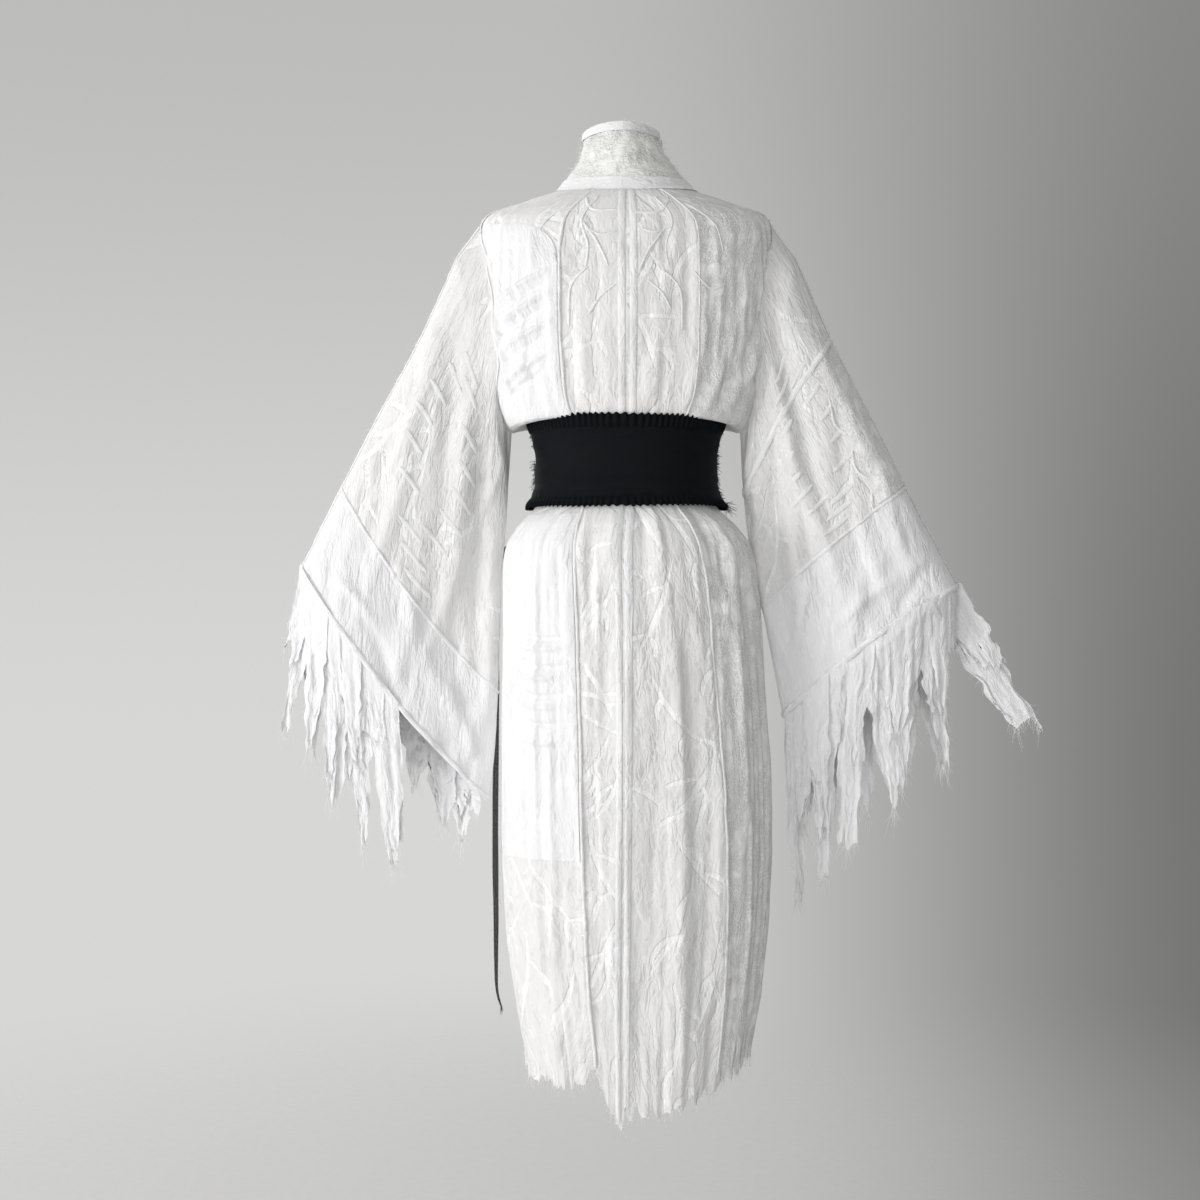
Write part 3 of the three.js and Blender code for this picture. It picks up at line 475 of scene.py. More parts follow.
class SleeveShape:
    """The worn surface of one sleeve, from its armhole (-1) to its cuff."""

    def __init__(self, stations: Sequence[Station], drapes: Sequence[Crease], mirror: int, seed: int) -> None:
        self.stations = stations
        self.drapes = drapes
        self.mirror = mirror
        self.end = float(len(stations) - 1)
        self.broad = Ripple(seed)
        self.fine = Ripple(seed + 1)

    def column(self, name: str, at: Array) -> Array:
        """A column of the station table at fractional stations."""
        return through([getattr(s, name) for s in self.stations], at)

    def smooth_point(self, at: Array, turn: Array) -> Array:
        """Points of the sleeve before it is creased; turn goes round from the top line, behind first."""
        at, turn = np.broadcast_arrays(np.asarray(at, float), np.asarray(turn, float))
        held = np.maximum(at, 0)
        down = (1 - np.cos(turn)) / 2
        pinch = 1 - self.column("pinch", held) * down
        swell = self.column("swell", held) * np.abs(np.sin(turn)) ** 0.8 * pinch
        x = mix(self.column("top_x", held), self.column("low_x", held), down)
        y = self.column("y", held) + np.where(turn <= math.pi, swell, -swell)
        z = mix(self.column("top_z", held), self.column("low_z", held), down)
        z = z - self.column("bow", held) * 4 * down * (1 - down)
        tube = np.stack([x, y, z], -1) * MM
        share = np.where(turn <= math.pi, turn / math.pi, 2 - turn / math.pi)
        row = mix(ROW["shoulder"], ROW["blouse"], share)
        angle = np.where(turn <= math.pi, armhole(row, 1), armhole(row, -1))
        if turn.ndim == 2 and (turn == turn[:1]).all():
            angle, row = angle[:1], row[:1]  # every station meets the same armhole
        hole = BODY.point(angle * self.mirror, row) * np.array([self.mirror, 1, 1])
        hole[..., 0] -= 1.2 * MM
        point = mix(hole, tube, np.clip(at + 1, 0, 1)[..., None])
        point[..., 0] *= self.mirror
        return point

    def relief(self, point: Array, at: Array) -> Array:
        """Folds that hang from the arm, and the gauze's crinkle, in metres outwards."""
        x, z = np.abs(point[..., 0]), point[..., 2]
        across = x * 0.93 + z * 0.36
        along = z * 0.93 - x * 0.36
        fade = smooth(-1.0, 0.4, at)
        cuff = smooth(2.6, self.end, at)
        total = 5.0 * (0.5 - np.abs(self.broad(across, along, 0.055, 0.30)))
        total += 2.6 * self.broad(across + 3, along, 0.022, 0.14)
        total += 1.1 * (0.5 - np.abs(self.fine(across, along, 0.013, 0.055)))
        total += 0.5 * self.fine(across + 1, along, 0.006, 0.022)
        total += cuff * (2.6 * self.fine(x + 5, z, 0.016, 0.05) + 1.6 * self.broad(x, z + 2, 0.03, 0.018))
        for drape in self.drapes:
            (x0, z0), (x1, z1) = drape.start, drape.end
            run_x, run_z = (x1 - x0) * MM, (z1 - z0) * MM
            length = math.hypot(run_x, run_z)
            t = ((x - x0 * MM) * run_x + (z - z0 * MM) * run_z) / length ** 2
            off = ((x - x0 * MM) * run_z - (z - z0 * MM) * run_x) / length
            off = off - drape.bow * MM * 4 * np.clip(t, 0, 1) * (1 - np.clip(t, 0, 1))
            fade_ends = smooth(-0.06, 0.3, t) * smooth(1.08, 0.65, t)
            total += drape.height * fade_ends * np.exp(-(off / (drape.width * MM)) ** 2)
        return total * fade * MM

    def point(self, at: Array, turn: Array, lift: float = 0.0) -> Array:
        """Creased points of the sleeve, lifted outwards."""
        at, turn = np.broadcast_arrays(np.asarray(at, float), np.asarray(turn, float))
        base = self.smooth_point(at, turn)
        step = 0.02
        along = self.smooth_point(at + step, turn) - self.smooth_point(at - step, turn)
        around = self.smooth_point(at, turn + step) - self.smooth_point(at, turn - step)
        out = unit(np.cross(along, around)) * self.mirror
        edge = np.abs(np.sin(turn))
        relief = self.relief(base, at) * mix(0.35, 1.0, smooth(0.05, 0.5, edge))
        return base + out * (relief + lift)[..., None]

    def stations_between(self, start: float, end: float, pitch: float = PITCH) -> Array:
        """Stations evenly spaced along the sleeve's middle."""
        probe = np.linspace(start, end, 300)
        line = self.smooth_point(probe, math.pi / 2)
        length = run_length(line)
        return np.interp(np.linspace(0, length[-1], max(4, int(length[-1] / pitch)) + 1), length, probe)

    def cuff_height(self, x: Array) -> Array:
        """Height of the cuff line in mm at a distance in mm from the centre."""
        cuff = self.stations[-1]
        down = (cuff.top_x - x) / (cuff.top_x - cuff.low_x)
        return mix(cuff.top_z, cuff.low_z, down) - cuff.bow * 4 * down * (1 - down)

    def cuff_depth(self, x: Array, z: Array) -> Array:
        """How far in mm the cloth stands behind or before the arm's plane, at or below the cuff."""
        cuff = self.stations[-1]
        down = np.clip((cuff.top_x - x) / (cuff.top_x - cuff.low_x), 0, 1)
        turn = np.arccos(1 - 2 * down)
        below = np.maximum(0, mix(cuff.top_z, cuff.low_z, down) - z)
        swell = cuff.swell * np.sin(turn) ** 0.8 * (1 - cuff.pinch * down)
        return mix(7.0, np.maximum(7.0, swell), np.exp(-below / 150))


# ---------------------------------------------------------------- collar, belt and tie shapes
COLLAR_BACK_REACH = 94 * MM
COLLAR_FRONT_REACH = 58 * MM
COLLAR_BINDING = 12 * MM
COLLAR_DRIFT = 7 * MM  # the standing collar's top has slipped to the left
COLLAR_TURN = 0.34  # share of its run at which the collar leaves the neck for the front edge


def collar_point(share: Array, across: Array) -> Array:
    """A point of the collar: signed share along it (0 centre back, + left), share across it."""
    share, across = np.broadcast_arrays(np.asarray(share, float), np.asarray(across, float))
    run = np.abs(share)
    mirror = np.where(share >= 0, 1.0, -1.0)
    row = np.where(run < COLLAR_TURN, 0, (ROW["blouse"] - 0.1) * (run - COLLAR_TURN) / (1 - COLLAR_TURN))
    angle = np.where(run < COLLAR_TURN, NECK_EDGE * run / COLLAR_TURN, front_edge(row))
    lift = np.where(mirror > 0, overlap_lift(angle, row), 0)
    base = BODY.point(angle, row, lift, creased=False)
    width = 1.5 * MM + across * mix(COLLAR_BACK_REACH, COLLAR_FRONT_REACH, smooth(0.22, 0.5, run))
    aside = np.abs(np.sin(np.radians(angle)))
    sideways = 1.12 * aside ** 2 / (aside + 0.12)  # rounds the centre back off
    lean = mix(0.12, 0.48, sideways)
    inwards = unit(np.stack([-base[..., 0], -base[..., 1], 0 * run], -1))
    stood = base + inwards * (width * lean + np.sin(math.pi * across) * 9 * MM * sideways)[..., None]
    stood[..., 2] += width * np.sqrt(1 - lean * lean)
    radius = BODY.column("half", row) * MM * 0.62 + 0.02
    leaning = angle + np.degrees(width * 0.9 / radius)
    lain = BODY.point(leaning, np.maximum(0, row - width * 8.5), lift, creased=False)
    lying = smooth(0.24, 0.5, run)
    point = mix(stood, lain, lying[..., None])
    point[..., 0] = mirror * point[..., 0] + COLLAR_DRIFT * across * (1 - lying)
    return point


@dataclass(frozen=True)
class BeltRing:
    """One ring of the belt from top to foot, in millimetres."""

    z: float
    half: float
    back: float
    front: float


BELT = (
    BeltRing(-348, 141, 104, 102), BeltRing(-366, 136, 100, 99), BeltRing(-402, 132, 97, 97),
    BeltRing(-436, 135, 100, 99), BeltRing(-456, 142, 105, 103),
)


def belt_point(angle: Array, at: Array, lift: Array = 0.0) -> Array:
    """A point of the belt at an angle and a fractional ring of BELT."""
    angle, at = np.broadcast_arrays(np.asarray(angle, float), np.asarray(at, float))
    a = np.radians(angle)
    column = lambda name: through([getattr(ring, name) for ring in BELT], at) * MM
    shaped = lambda v: np.sign(v) * np.abs(v) ** (2 / SQUARENESS)
    depth = np.where(np.cos(a) >= 0, column("back"), column("front"))
    x = (column("half") + lift) * shaped(np.sin(a))
    return np.stack([x, (depth + lift) * shaped(np.cos(a)), column("z")], -1)


@dataclass(frozen=True)
class TiePoint:
    """A point of the hanging tie's middle line, with its half width, in millimetres."""

    x: float
    y: float
    z: float
    half: float


TIE = (
    TiePoint(96, -110, -466, 4), TiePoint(130, -104, -486, 4), TiePoint(166, -88, -508, 4),
    TiePoint(187, -70, -534, 4), TiePoint(192, -62, -580, 4), TiePoint(193, -60, -660, 4),
    TiePoint(192, -60, -740, 4), TiePoint(193, -60, -820, 4), TiePoint(194, -60, -900, 4.5),
    TiePoint(194, -60, -990, 4.5), TiePoint(193, -60, -1060, 4), TiePoint(193, -60, -1130, 3),
    TiePoint(192, -60, -1176, 2), TiePoint(185, -60, -1204, 1),
)


# ---------------------------------------------------------------- woven motifs
class Vines:
    """Generic branching sprigs, woven opaque into sheer cloth, as a distance field over its flat."""

    def __init__(self, seed: int, pitch: float = 0.085, half_width: float = 3.2 * MM) -> None:
        self.random = np.random.default_rng(seed)
        self.pitch = pitch
        self.half_width = half_width

    def stroke(self, start: Array, heading: float, length: float, bend: float) -> tuple[Array, Array]:
        """Points and half widths of one tapered, bending stroke."""
        t = np.linspace(0, 1, max(8, int(length / (3 * MM))))
        turn = heading + bend * t
        step = length / (len(t) - 1)
        path = start + np.cumsum(np.stack([np.sin(turn), np.cos(turn)], -1) * step, axis=0)
        return path, self.half_width * (0.45 + 0.75 * np.sin(math.pi * np.clip(t * 0.92 + 0.06, 0, 1)))

    def strokes(self, u0: float, u1: float, v0: float, v1: float) -> list[tuple[Array, Array]]:
        """Strokes that fill a rectangle of the flat cloth."""
        made = []
        r = self.random
        u = u0 - self.pitch / 2 + r.uniform(0, self.pitch)
        while u < u1 + self.pitch:
            v = v0 - 0.15 + r.uniform(0, 0.1)
            heading, here = r.uniform(-0.3, 0.3), np.array([u, v])
            while here[1] < v1:
                length, bend = r.uniform(0.09, 0.16), r.uniform(-0.9, 0.9)
                stem = self.stroke(here, heading, length, bend)
                made.append(stem)
                for t in r.uniform(0.15, 0.9, 3):
                    side = r.choice([-1, 1])
                    at = stem[0][int(t * (len(stem[0]) - 1))]
                    leaf = heading + side * r.uniform(0.7, 1.3)
                    leaf_length = r.uniform(0.03, 0.075)
                    made.append(self.stroke(at, leaf, leaf_length, -side * r.uniform(0.2, 1.5)))
                here = stem[0][-1] + np.array([r.normal(0, 0.012), r.uniform(0.0, 0.05)])
                heading = -0.4 * (heading + bend) + r.uniform(-0.4, 0.4)
            u += self.pitch * r.uniform(0.8, 1.2)
        return made

    def field(self, flat: Array) -> Array:
        """Signed distance in mm to the nearest stroke's edge over a grid of flat points, + inside."""
        u, v = flat[..., 0], flat[..., 1]
        total = np.full(u.shape, FAR_FROM_MOTIF)
        for path, half in self.strokes(u.min(), u.max(), v.min(), v.max()):
            lo, hi = path.min(0) - 0.016, path.max(0) + 0.016
            near = (u > lo[0]) & (u < hi[0]) & (v > lo[1]) & (v < hi[1])
            if not near.any():
                continue
            p = np.stack([u[near], v[near]], -1)
            away = np.linalg.norm(p[:, None, :] - path[None], axis=-1) - half[None]
            total[near] = np.maximum(total[near], -away.min(1) / MM)
        return total


# ---------------------------------------------------------------- meshes
def flat_of(grid: Array) -> Array:
    """Flat coordinates in metres of a grid of cloth points: across, and down."""
    across = np.linalg.norm(np.diff(grid, axis=1), axis=-1)
    down = np.linalg.norm(np.diff(grid, axis=0), axis=-1)
    u = np.concatenate([np.zeros((grid.shape[0], 1)), np.cumsum(across, axis=1)], 1)
    middle = down.mean(1, keepdims=True)
    v = np.concatenate([[[0.0]], np.cumsum(middle, axis=0)], 0) + np.zeros_like(u)
    return np.stack([u - u.mean(1, keepdims=True), v], -1)


def placed(name: str, data: bpy.types.ID) -> bpy.types.Object:
    """A new object of some data, put in the scene."""
    made = bpy.data.objects.new(name, data)
    bpy.context.scene.collection.objects.link(made)
    return made


@dataclass
class ClothMesh:
    """Grids of cloth gathered into one mesh, with flat coordinates and a woven-motif field."""

    name: str
    points: list[Array] = field(default_factory=list)
    faces: list[Array] = field(default_factory=list)
    flats: list[Array] = field(default_factory=list)
    motifs: list[Array] = field(default_factory=list)
    count: int = 0

    def add(self, grid: Array, flat: Array | None = None, motif: Array | None = None,
            flip: bool = False) -> None:
        """Adds one grid of points.

        Args:
            grid: rows x columns x 3 points.
            flat: flat coordinates, worked out from the grid if left out.
            motif: the motif field, far outside any motif if left out.
            flip: whether the faces turn the other way.
        """
        rows, columns = grid.shape[:2]
        flat = flat_of(grid) if flat is None else flat
        motif = np.full((rows, columns), FAR_FROM_MOTIF) if motif is None else motif
        index = np.arange(rows * columns).reshape(rows, columns) + self.count
        left, right = index[:, :-1], index[:, 1:]
        quads = np.stack([left[:-1], left[1:], right[1:], right[:-1]], -1).reshape(-1, 4)
        self.faces.append(quads[:, ::-1] if flip else quads)
        self.points.append(grid.reshape(-1, 3))
        self.flats.append(flat.reshape(-1, 2))
        self.motifs.append(motif.reshape(-1))
        self.count += rows * columns

    def build(self, material: bpy.types.Material) -> bpy.types.Object:
        """The finished object, shaded smooth."""
        points = np.concatenate(self.points)
        faces = np.concatenate(self.faces)
        flats = np.concatenate(self.flats)
        mesh = bpy.data.meshes.new(self.name)
        mesh.from_pydata(points.tolist(), [], faces.tolist())
        loops = np.zeros(len(mesh.loops), np.int32)
        mesh.loops.foreach_get("vertex_index", loops)
        layer = mesh.uv_layers.new(name="flat")
        layer.data.foreach_set("uv", flats[loops].astype(np.float32).ravel())
        woven = mesh.attributes.new("motif", "FLOAT", "POINT")
        woven.data.foreach_set("value", np.concatenate(self.motifs).astype(np.float32))
        mesh.polygons.foreach_set("use_smooth", np.ones(len(mesh.polygons), bool))
        mesh.materials.append(material)
        mesh.update()
        return placed(self.name + "_cloth", mesh)


def area_of(grid: Array) -> float:
    """Area in square metres of a grid of points."""
    a, b, c, d = grid[:-1, :-1], grid[1:, :-1], grid[1:, 1:], grid[:-1, 1:]
    return float((np.linalg.norm(np.cross(c - a, d - b), axis=-1) / 2).sum())


class Threads:
    """Frayed threads: many fine curling tubes in one mesh."""

    JOINTS = 3

    def __init__(self, name: str, seed: int) -> None:
        self.name = name
        self.random = np.random.default_rng(seed)
        self.starts: list[Array] = []
        self.heads: list[Array] = []
        self.lengths: list[Array] = []

    def sprout(self, starts: Array, heading: Array, spread: float, shortest: float, longest: float) -> None:
        """Adds one thread at each start.

        Args:
            starts: N x 3 points.
            heading: direction or N x 3 directions in which they leave.
            spread: how widely they scatter about it, 0 to 1.
            shortest: least length in metres.
            longest: greatest length in metres.
        """
        n = len(starts)
        r = self.random
        scatter = r.normal(0, 1, (n, 3)) * spread
        self.starts.append(starts)
        self.heads.append(unit(np.asarray(heading) + scatter))
        self.lengths.append(shortest + (longest - shortest) * r.random(n) ** 2.2)

    def build(self, material: bpy.types.Material, width: float = THREAD_WIDTH) -> bpy.types.Object:
        """The joined mesh of all threads, three-sided and tapered."""
        start, head = np.concatenate(self.starts), np.concatenate(self.heads)
        length = np.concatenate(self.lengths)
        n, joints = len(start), self.JOINTS
        r = self.random
        t = np.linspace(0, 1, joints)[None, :, None]
        curl = r.normal(0, 1, (n, 1, 3)) * 0.35
        droop = np.array([0, 0, -1.0]) * r.uniform(0.1, 0.7, (n, 1, 1))
        path = start[:, None] + length[:, None, None] * (head[:, None] * t + (curl + droop) * t * t * 0.6)
        wave = np.sin(t * 9 + r.uniform(0, 6, (n, 1, 1)))
        path += length[:, None, None] * 0.05 * wave * r.normal(0, 1, (n, 1, 3))
        run = unit(np.gradient(path, axis=1))
        side = unit(np.cross(run, np.array([0.3, 1.0, 0.2])))
        other = np.cross(run, side)
        radius = width / 2 * (1 - 0.6 * t)
        around = [math.radians(a) for a in (0, 120, 240)]
        ring = np.stack([path + (side * math.cos(a) + other * math.sin(a)) * radius for a in around], 2)
        index = np.arange(n * joints * 3).reshape(n, joints, 3)
        a, b = index[:, :-1], index[:, 1:]
        quads = np.stack([a, np.roll(a, -1, 2), np.roll(b, -1, 2), b], -1).reshape(-1, 4)
        mesh = bpy.data.meshes.new(self.name)
        mesh.from_pydata(ring.reshape(-1, 3).tolist(), [], quads.tolist())
        mesh.polygons.foreach_set("use_smooth", np.ones(len(mesh.polygons), bool))
        mesh.materials.append(material)
        return placed(self.name, mesh)


# ---------------------------------------------------------------- shader groups
class NodeBench:
    """A node tree with short calls to add and join its nodes."""

    def __init__(self, tree: bpy.types.NodeTree) -> None:
        self.tree = tree

    def add(self, kind: str, **settings: object) -> bpy.types.Node:
        """A node of a kind, with its properties set."""
        node = self.tree.nodes.new(kind)
        for name, value in settings.items():
            setattr(node, name, value)
        return node

    def join(self, out: bpy.types.NodeSocket, into: bpy.types.NodeSocket) -> None:
        """Links an output to an input."""
        self.tree.links.new(out, into)

    def feed(self, socket: bpy.types.NodeSocket, value: object) -> None:
        """Links a socket, or sets an input's number."""
        if isinstance(value, bpy.types.NodeSocket):
            self.join(value, socket)
        else:
            socket.default_value = value

    def math(self, operation: str, a: object, b: object = 0.0, clamp: bool = False) -> bpy.types.NodeSocket:
        """A maths node on sockets or numbers."""
        node = self.add("ShaderNodeMath", operation=operation, use_clamp=clamp)
        self.feed(node.inputs[0], a)
        self.feed(node.inputs[1], b)
        return node.outputs[0]

    def blend(self, factor: object, a: object, b: object) -> bpy.types.NodeSocket:
        """A mix of two numbers."""
        node = self.add("ShaderNodeMix", data_type="FLOAT")
        self.feed(node.inputs[0], factor)
        self.feed(node.inputs[2], a)
        self.feed(node.inputs[3], b)
        return node.outputs[0]

    def tint(self, factor: object, a: object, b: object) -> bpy.types.NodeSocket:
        """A mix of two colours."""
        node = self.add("ShaderNodeMix", data_type="RGBA")
        self.feed(node.inputs[0], factor)
        self.feed(node.inputs[6], a)
        self.feed(node.inputs[7], b)
        return node.outputs[2]

    def steps(self, value: object, low: float, high: float) -> bpy.types.NodeSocket:
        """A smooth step of a value from 0 at low to 1 at high."""
        node = self.add("ShaderNodeMapRange", interpolation_type="SMOOTHSTEP")
        self.feed(node.inputs[0], value)
        node.inputs[1].default_value = low
        node.inputs[2].default_value = high
        return node.outputs[0]

    def noise(self, vector: bpy.types.NodeSocket, scale: float, detail: float = 2.0,
              rough: float = 0.5) -> bpy.types.NodeSocket:
        """Smooth noise, from 0 to 1."""
        node = self.add("ShaderNodeTexNoise")
        self.join(vector, node.inputs["Vector"])
        node.inputs["Scale"].default_value = scale
        node.inputs["Detail"].default_value = detail
        node.inputs["Roughness"].default_value = rough
        return node.outputs[0]

    def stretched(self, vector: bpy.types.NodeSocket, x: float, y: float,
                  turn: float = 0.0) -> bpy.types.NodeSocket:
        """A vector scaled differently each way, after a turn in degrees."""
        node = self.add("ShaderNodeMapping")
        self.join(vector, node.inputs["Vector"])
        node.inputs["Rotation"].default_value = (0, 0, math.radians(turn))
        node.inputs["Scale"].default_value = (x, y, 1)
        return node.outputs[0]


Group = tuple[bpy.types.NodeTree, NodeBench, bpy.types.Node, bpy.types.Node]


def new_group(name: str, inputs: Sequence[tuple[str, str]], outputs: Sequence[tuple[str, str]]) -> Group:
    """An empty shader group with its sockets.

    Args:
        name: its name.
        inputs: names and socket types of its inputs.
        outputs: names and socket types of its outputs.

    Returns:
        The group, a bench on it, and its input and output nodes.
    """
    tree = bpy.data.node_groups.new(name, "ShaderNodeTree")
    for label, kind in inputs:
        tree.interface.new_socket(label, in_out="INPUT", socket_type=kind)
    for label, kind in outputs:
        tree.interface.new_socket(label, in_out="OUTPUT", socket_type=kind)
    bench = NodeBench(tree)
    return tree, bench, bench.add("NodeGroupInput"), bench.add("NodeGroupOutput")


def new_material(name: str) -> tuple[bpy.types.Material, NodeBench, bpy.types.Node]:
    """A material, a bench on its nodes and its main shader."""
    made = bpy.data.materials.new(name)
    made.use_nodes = True
    return made, NodeBench(made.node_tree), made.node_tree.nodes["Principled BSDF"]


NUMBER = "NodeSocketFloat"
VECTOR = "NodeSocketVector"


def crinkle_group() -> bpy.types.NodeTree:
    """Creases of crumpled gauze, with its weave: a height in metres, and masks of hollows and ridges, which
    the cloths use to paint shade into the hollows and highlight onto the ridges.
    """
    tree, b, into, out = new_group(
        "gauze_crinkle", [("Flat", VECTOR), ("Crinkle", NUMBER), ("Weave", NUMBER)],
        [("Height", NUMBER), ("Hollow", NUMBER), ("Ridge", NUMBER)])
    flat = into.outputs["Flat"]

    def ridged(across: float, along: float, turn: float, bend: float) -> bpy.types.NodeSocket:
        """Sharp crease lines, from 0 to 1."""
        node = b.add("ShaderNodeTexNoise", noise_type="RIDGED_MULTIFRACTAL", normalize=True)
        b.join(b.stretched(flat, across, along, turn), node.inputs["Vector"])
        settings = {"Scale": 1.0, "Detail": 2.0, "Roughness": 0.5, "Offset": 1.0, "Gain": 1.5,
                    "Distortion": bend}
        for label, value in settings.items():
            node.inputs[label].default_value = value
        return node.outputs[0]

    large = ridged(34, 11, 5, 0.5)
    small = ridged(135, 42, -8, 0.7)
    crossed = ridged(60, 75, 33, 0.6)
    soft = b.noise(b.stretched(flat, 70, 26, 8), 1.0, 3.0, 0.6)
    height = b.math("ADD", b.math("MULTIPLY", large, 1.5), b.math("MULTIPLY", small, 0.85))
    finer = b.math("ADD", b.math("MULTIPLY", crossed, 0.45), b.math("MULTIPLY", soft, 0.6))
    height = b.math("ADD", height, finer)
    warp = b.add("ShaderNodeTexWave", wave_type="BANDS", bands_direction="X")
    weft = b.add("ShaderNodeTexWave", wave_type="BANDS", bands_direction="Y")
    for wave in (warp, weft):
        b.join(flat, wave.inputs["Vector"])
        wave.inputs["Scale"].default_value = 260
        wave.inputs["Distortion"].default_value = 1.2
        wave.inputs["Detail"].default_value = 1
    weave = b.math("MULTIPLY", b.math("ADD", warp.outputs[1], weft.outputs[1]), into.outputs["Weave"])
    calm = b.blend(b.steps(b.noise(flat, 11, 2.0), 0.3, 0.7), 0.45, 1.25)
    height = b.math("MULTIPLY", b.math("MULTIPLY", height, calm), into.outputs["Crinkle"])
    b.join(b.math("ADD", height, weave), out.inputs["Height"])
    # The hollow mask carries painted shade and the ridge mask painted highlight in the cloth materials.
    b.join(b.steps(b.math("ADD", soft, b.math("MULTIPLY", small, -0.4)), 0.42, 0.1), out.inputs["Hollow"])
    b.join(b.steps(b.math("ADD", small, b.math("MULTIPLY", large, 0.5)), 0.8, 1.25), out.inputs["Ridge"])
    return tree


def lace_group() -> bpy.types.NodeTree:
    """A lace ground: a mask of a fine net's cords and small dense flowers."""
    tree, b, into, out = new_group("lace_ground", [("Flat", VECTOR), ("Cell", NUMBER)], [("Dense", NUMBER)])
    flat = into.outputs["Flat"]
    warped = b.add("ShaderNodeVectorMath", operation="ADD")
    drift = b.add("ShaderNodeTexNoise")
    b.join(flat, drift.inputs["Vector"])
    drift.inputs["Scale"].default_value = 60
    push = b.add("ShaderNodeVectorMath", operation="SCALE")
    b.join(drift.outputs[1], push.inputs[0])
    push.inputs["Scale"].default_value = 0.012
    b.join(flat, warped.inputs[0])
    b.join(push.outputs[0], warped.inputs[1])
    net = b.add("ShaderNodeTexVoronoi", feature="DISTANCE_TO_EDGE")
    b.join(warped.outputs[0], net.inputs["Vector"])
    b.join(into.outputs["Cell"], net.inputs["Scale"])
    cords = b.math("SUBTRACT", 1.0, b.steps(net.outputs[0], 0.03, 0.14))
    flowers = b.add("ShaderNodeTexVoronoi", feature="SMOOTH_F1")
    b.join(warped.outputs[0], flowers.inputs["Vector"])
    flowers.inputs["Scale"].default_value = 42
    bloom = b.math("SUBTRACT", 1.0, b.steps(flowers.outputs[0], 0.22, 0.42))
    b.join(b.math("MAXIMUM", b.math("MULTIPLY", cords, 0.75), bloom), out.inputs["Dense"])
    return tree


GROUPS: dict[str, bpy.types.NodeTree] = {}


class Ground(Enum):
    """What a cloth is woven as."""

    PLAIN = "plain gauze"
    SHEER = "sheer gauze with woven motifs"
    LACE = "lace gauze"


@dataclass(frozen=True)
class ClothFinish:
    """Finish of one cloth."""

    name: str
    ground: Ground
    colour: Triple
    dense_colour: Triple
    alpha: float  # cover of the ground
    dense_alpha: float  # cover of motifs and lace cords
    crinkle: float = 0.6 * MM
    weave: float = 0.03 * MM
    roughness: float = 0.85
    sheen: float = 0.15
    motif_height: float = 0.5 * MM
    cell: float = 190.0  # lace cells a metre

    def material(self) -> bpy.types.Material:
        """The finish as a material."""
        made, b, shader = new_material(self.name)
        shader.inputs["Roughness"].default_value = self.roughness
        shader.inputs["Sheen Weight"].default_value = self.sheen
        shader.inputs["Sheen Roughness"].default_value = 0.5
        shader.inputs["Specular IOR Level"].default_value = 0.2
        flat = b.add("ShaderNodeUVMap", uv_map="flat").outputs[0]
        crinkle = b.add("ShaderNodeGroup", node_tree=GROUPS["crinkle"])
        b.join(flat, crinkle.inputs["Flat"])
        crinkle.inputs["Crinkle"].default_value = self.crinkle
        crinkle.inputs["Weave"].default_value = self.weave
        height = crinkle.outputs["Height"]
        dense: object = 0.0
        if self.ground is Ground.SHEER:
            woven = b.add("ShaderNodeAttribute", attribute_name="motif")
            wobble = b.math("MULTIPLY", b.math("SUBTRACT", b.noise(flat, 260, 2.0), 0.5), 2.4)
            dense = b.steps(b.math("ADD", woven.outputs["Fac"], wobble), -0.9, 0.9)
        if self.ground is Ground.LACE:
            lace = b.add("ShaderNodeGroup", node_tree=GROUPS["lace"])
            b.join(flat, lace.inputs["Flat"])
            lace.inputs["Cell"].default_value = self.cell
            dense = lace.outputs["Dense"]
        base = b.tint(dense, (*self.colour, 1), (*self.dense_colour, 1))
        # Painted highlight: the crease ridges are lightened towards the dense colour.
        base = b.tint(b.math("MULTIPLY", crinkle.outputs["Ridge"], 0.5), base, (*self.dense_colour, 1))
        # Painted shade: the crease hollows are darkened towards 82 % of the ground colour.
        shaded = (*(0.82 * c for c in self.colour), 1)
        crease_shaded = b.tint(b.math("MULTIPLY", crinkle.outputs["Hollow"], 0.35), base, shaded)
        b.join(crease_shaded, shader.inputs["Base Color"])
        cover = b.blend(dense, self.alpha, self.dense_alpha)
        ridge = b.math("MULTIPLY", crinkle.outputs["Ridge"], 0.08)
        b.join(b.math("ADD", cover, ridge, clamp=True), shader.inputs["Alpha"])
        if self.ground is not Ground.PLAIN:
            height = b.math("ADD", height, b.math("MULTIPLY", dense, self.motif_height))
        bump = b.add("ShaderNodeBump")
        bump.inputs["Distance"].default_value = 1.0
        bump.inputs["Strength"].default_value = 1.0
        b.join(height, bump.inputs["Height"])
        b.join(bump.outputs[0], shader.inputs["Normal"])
        return made


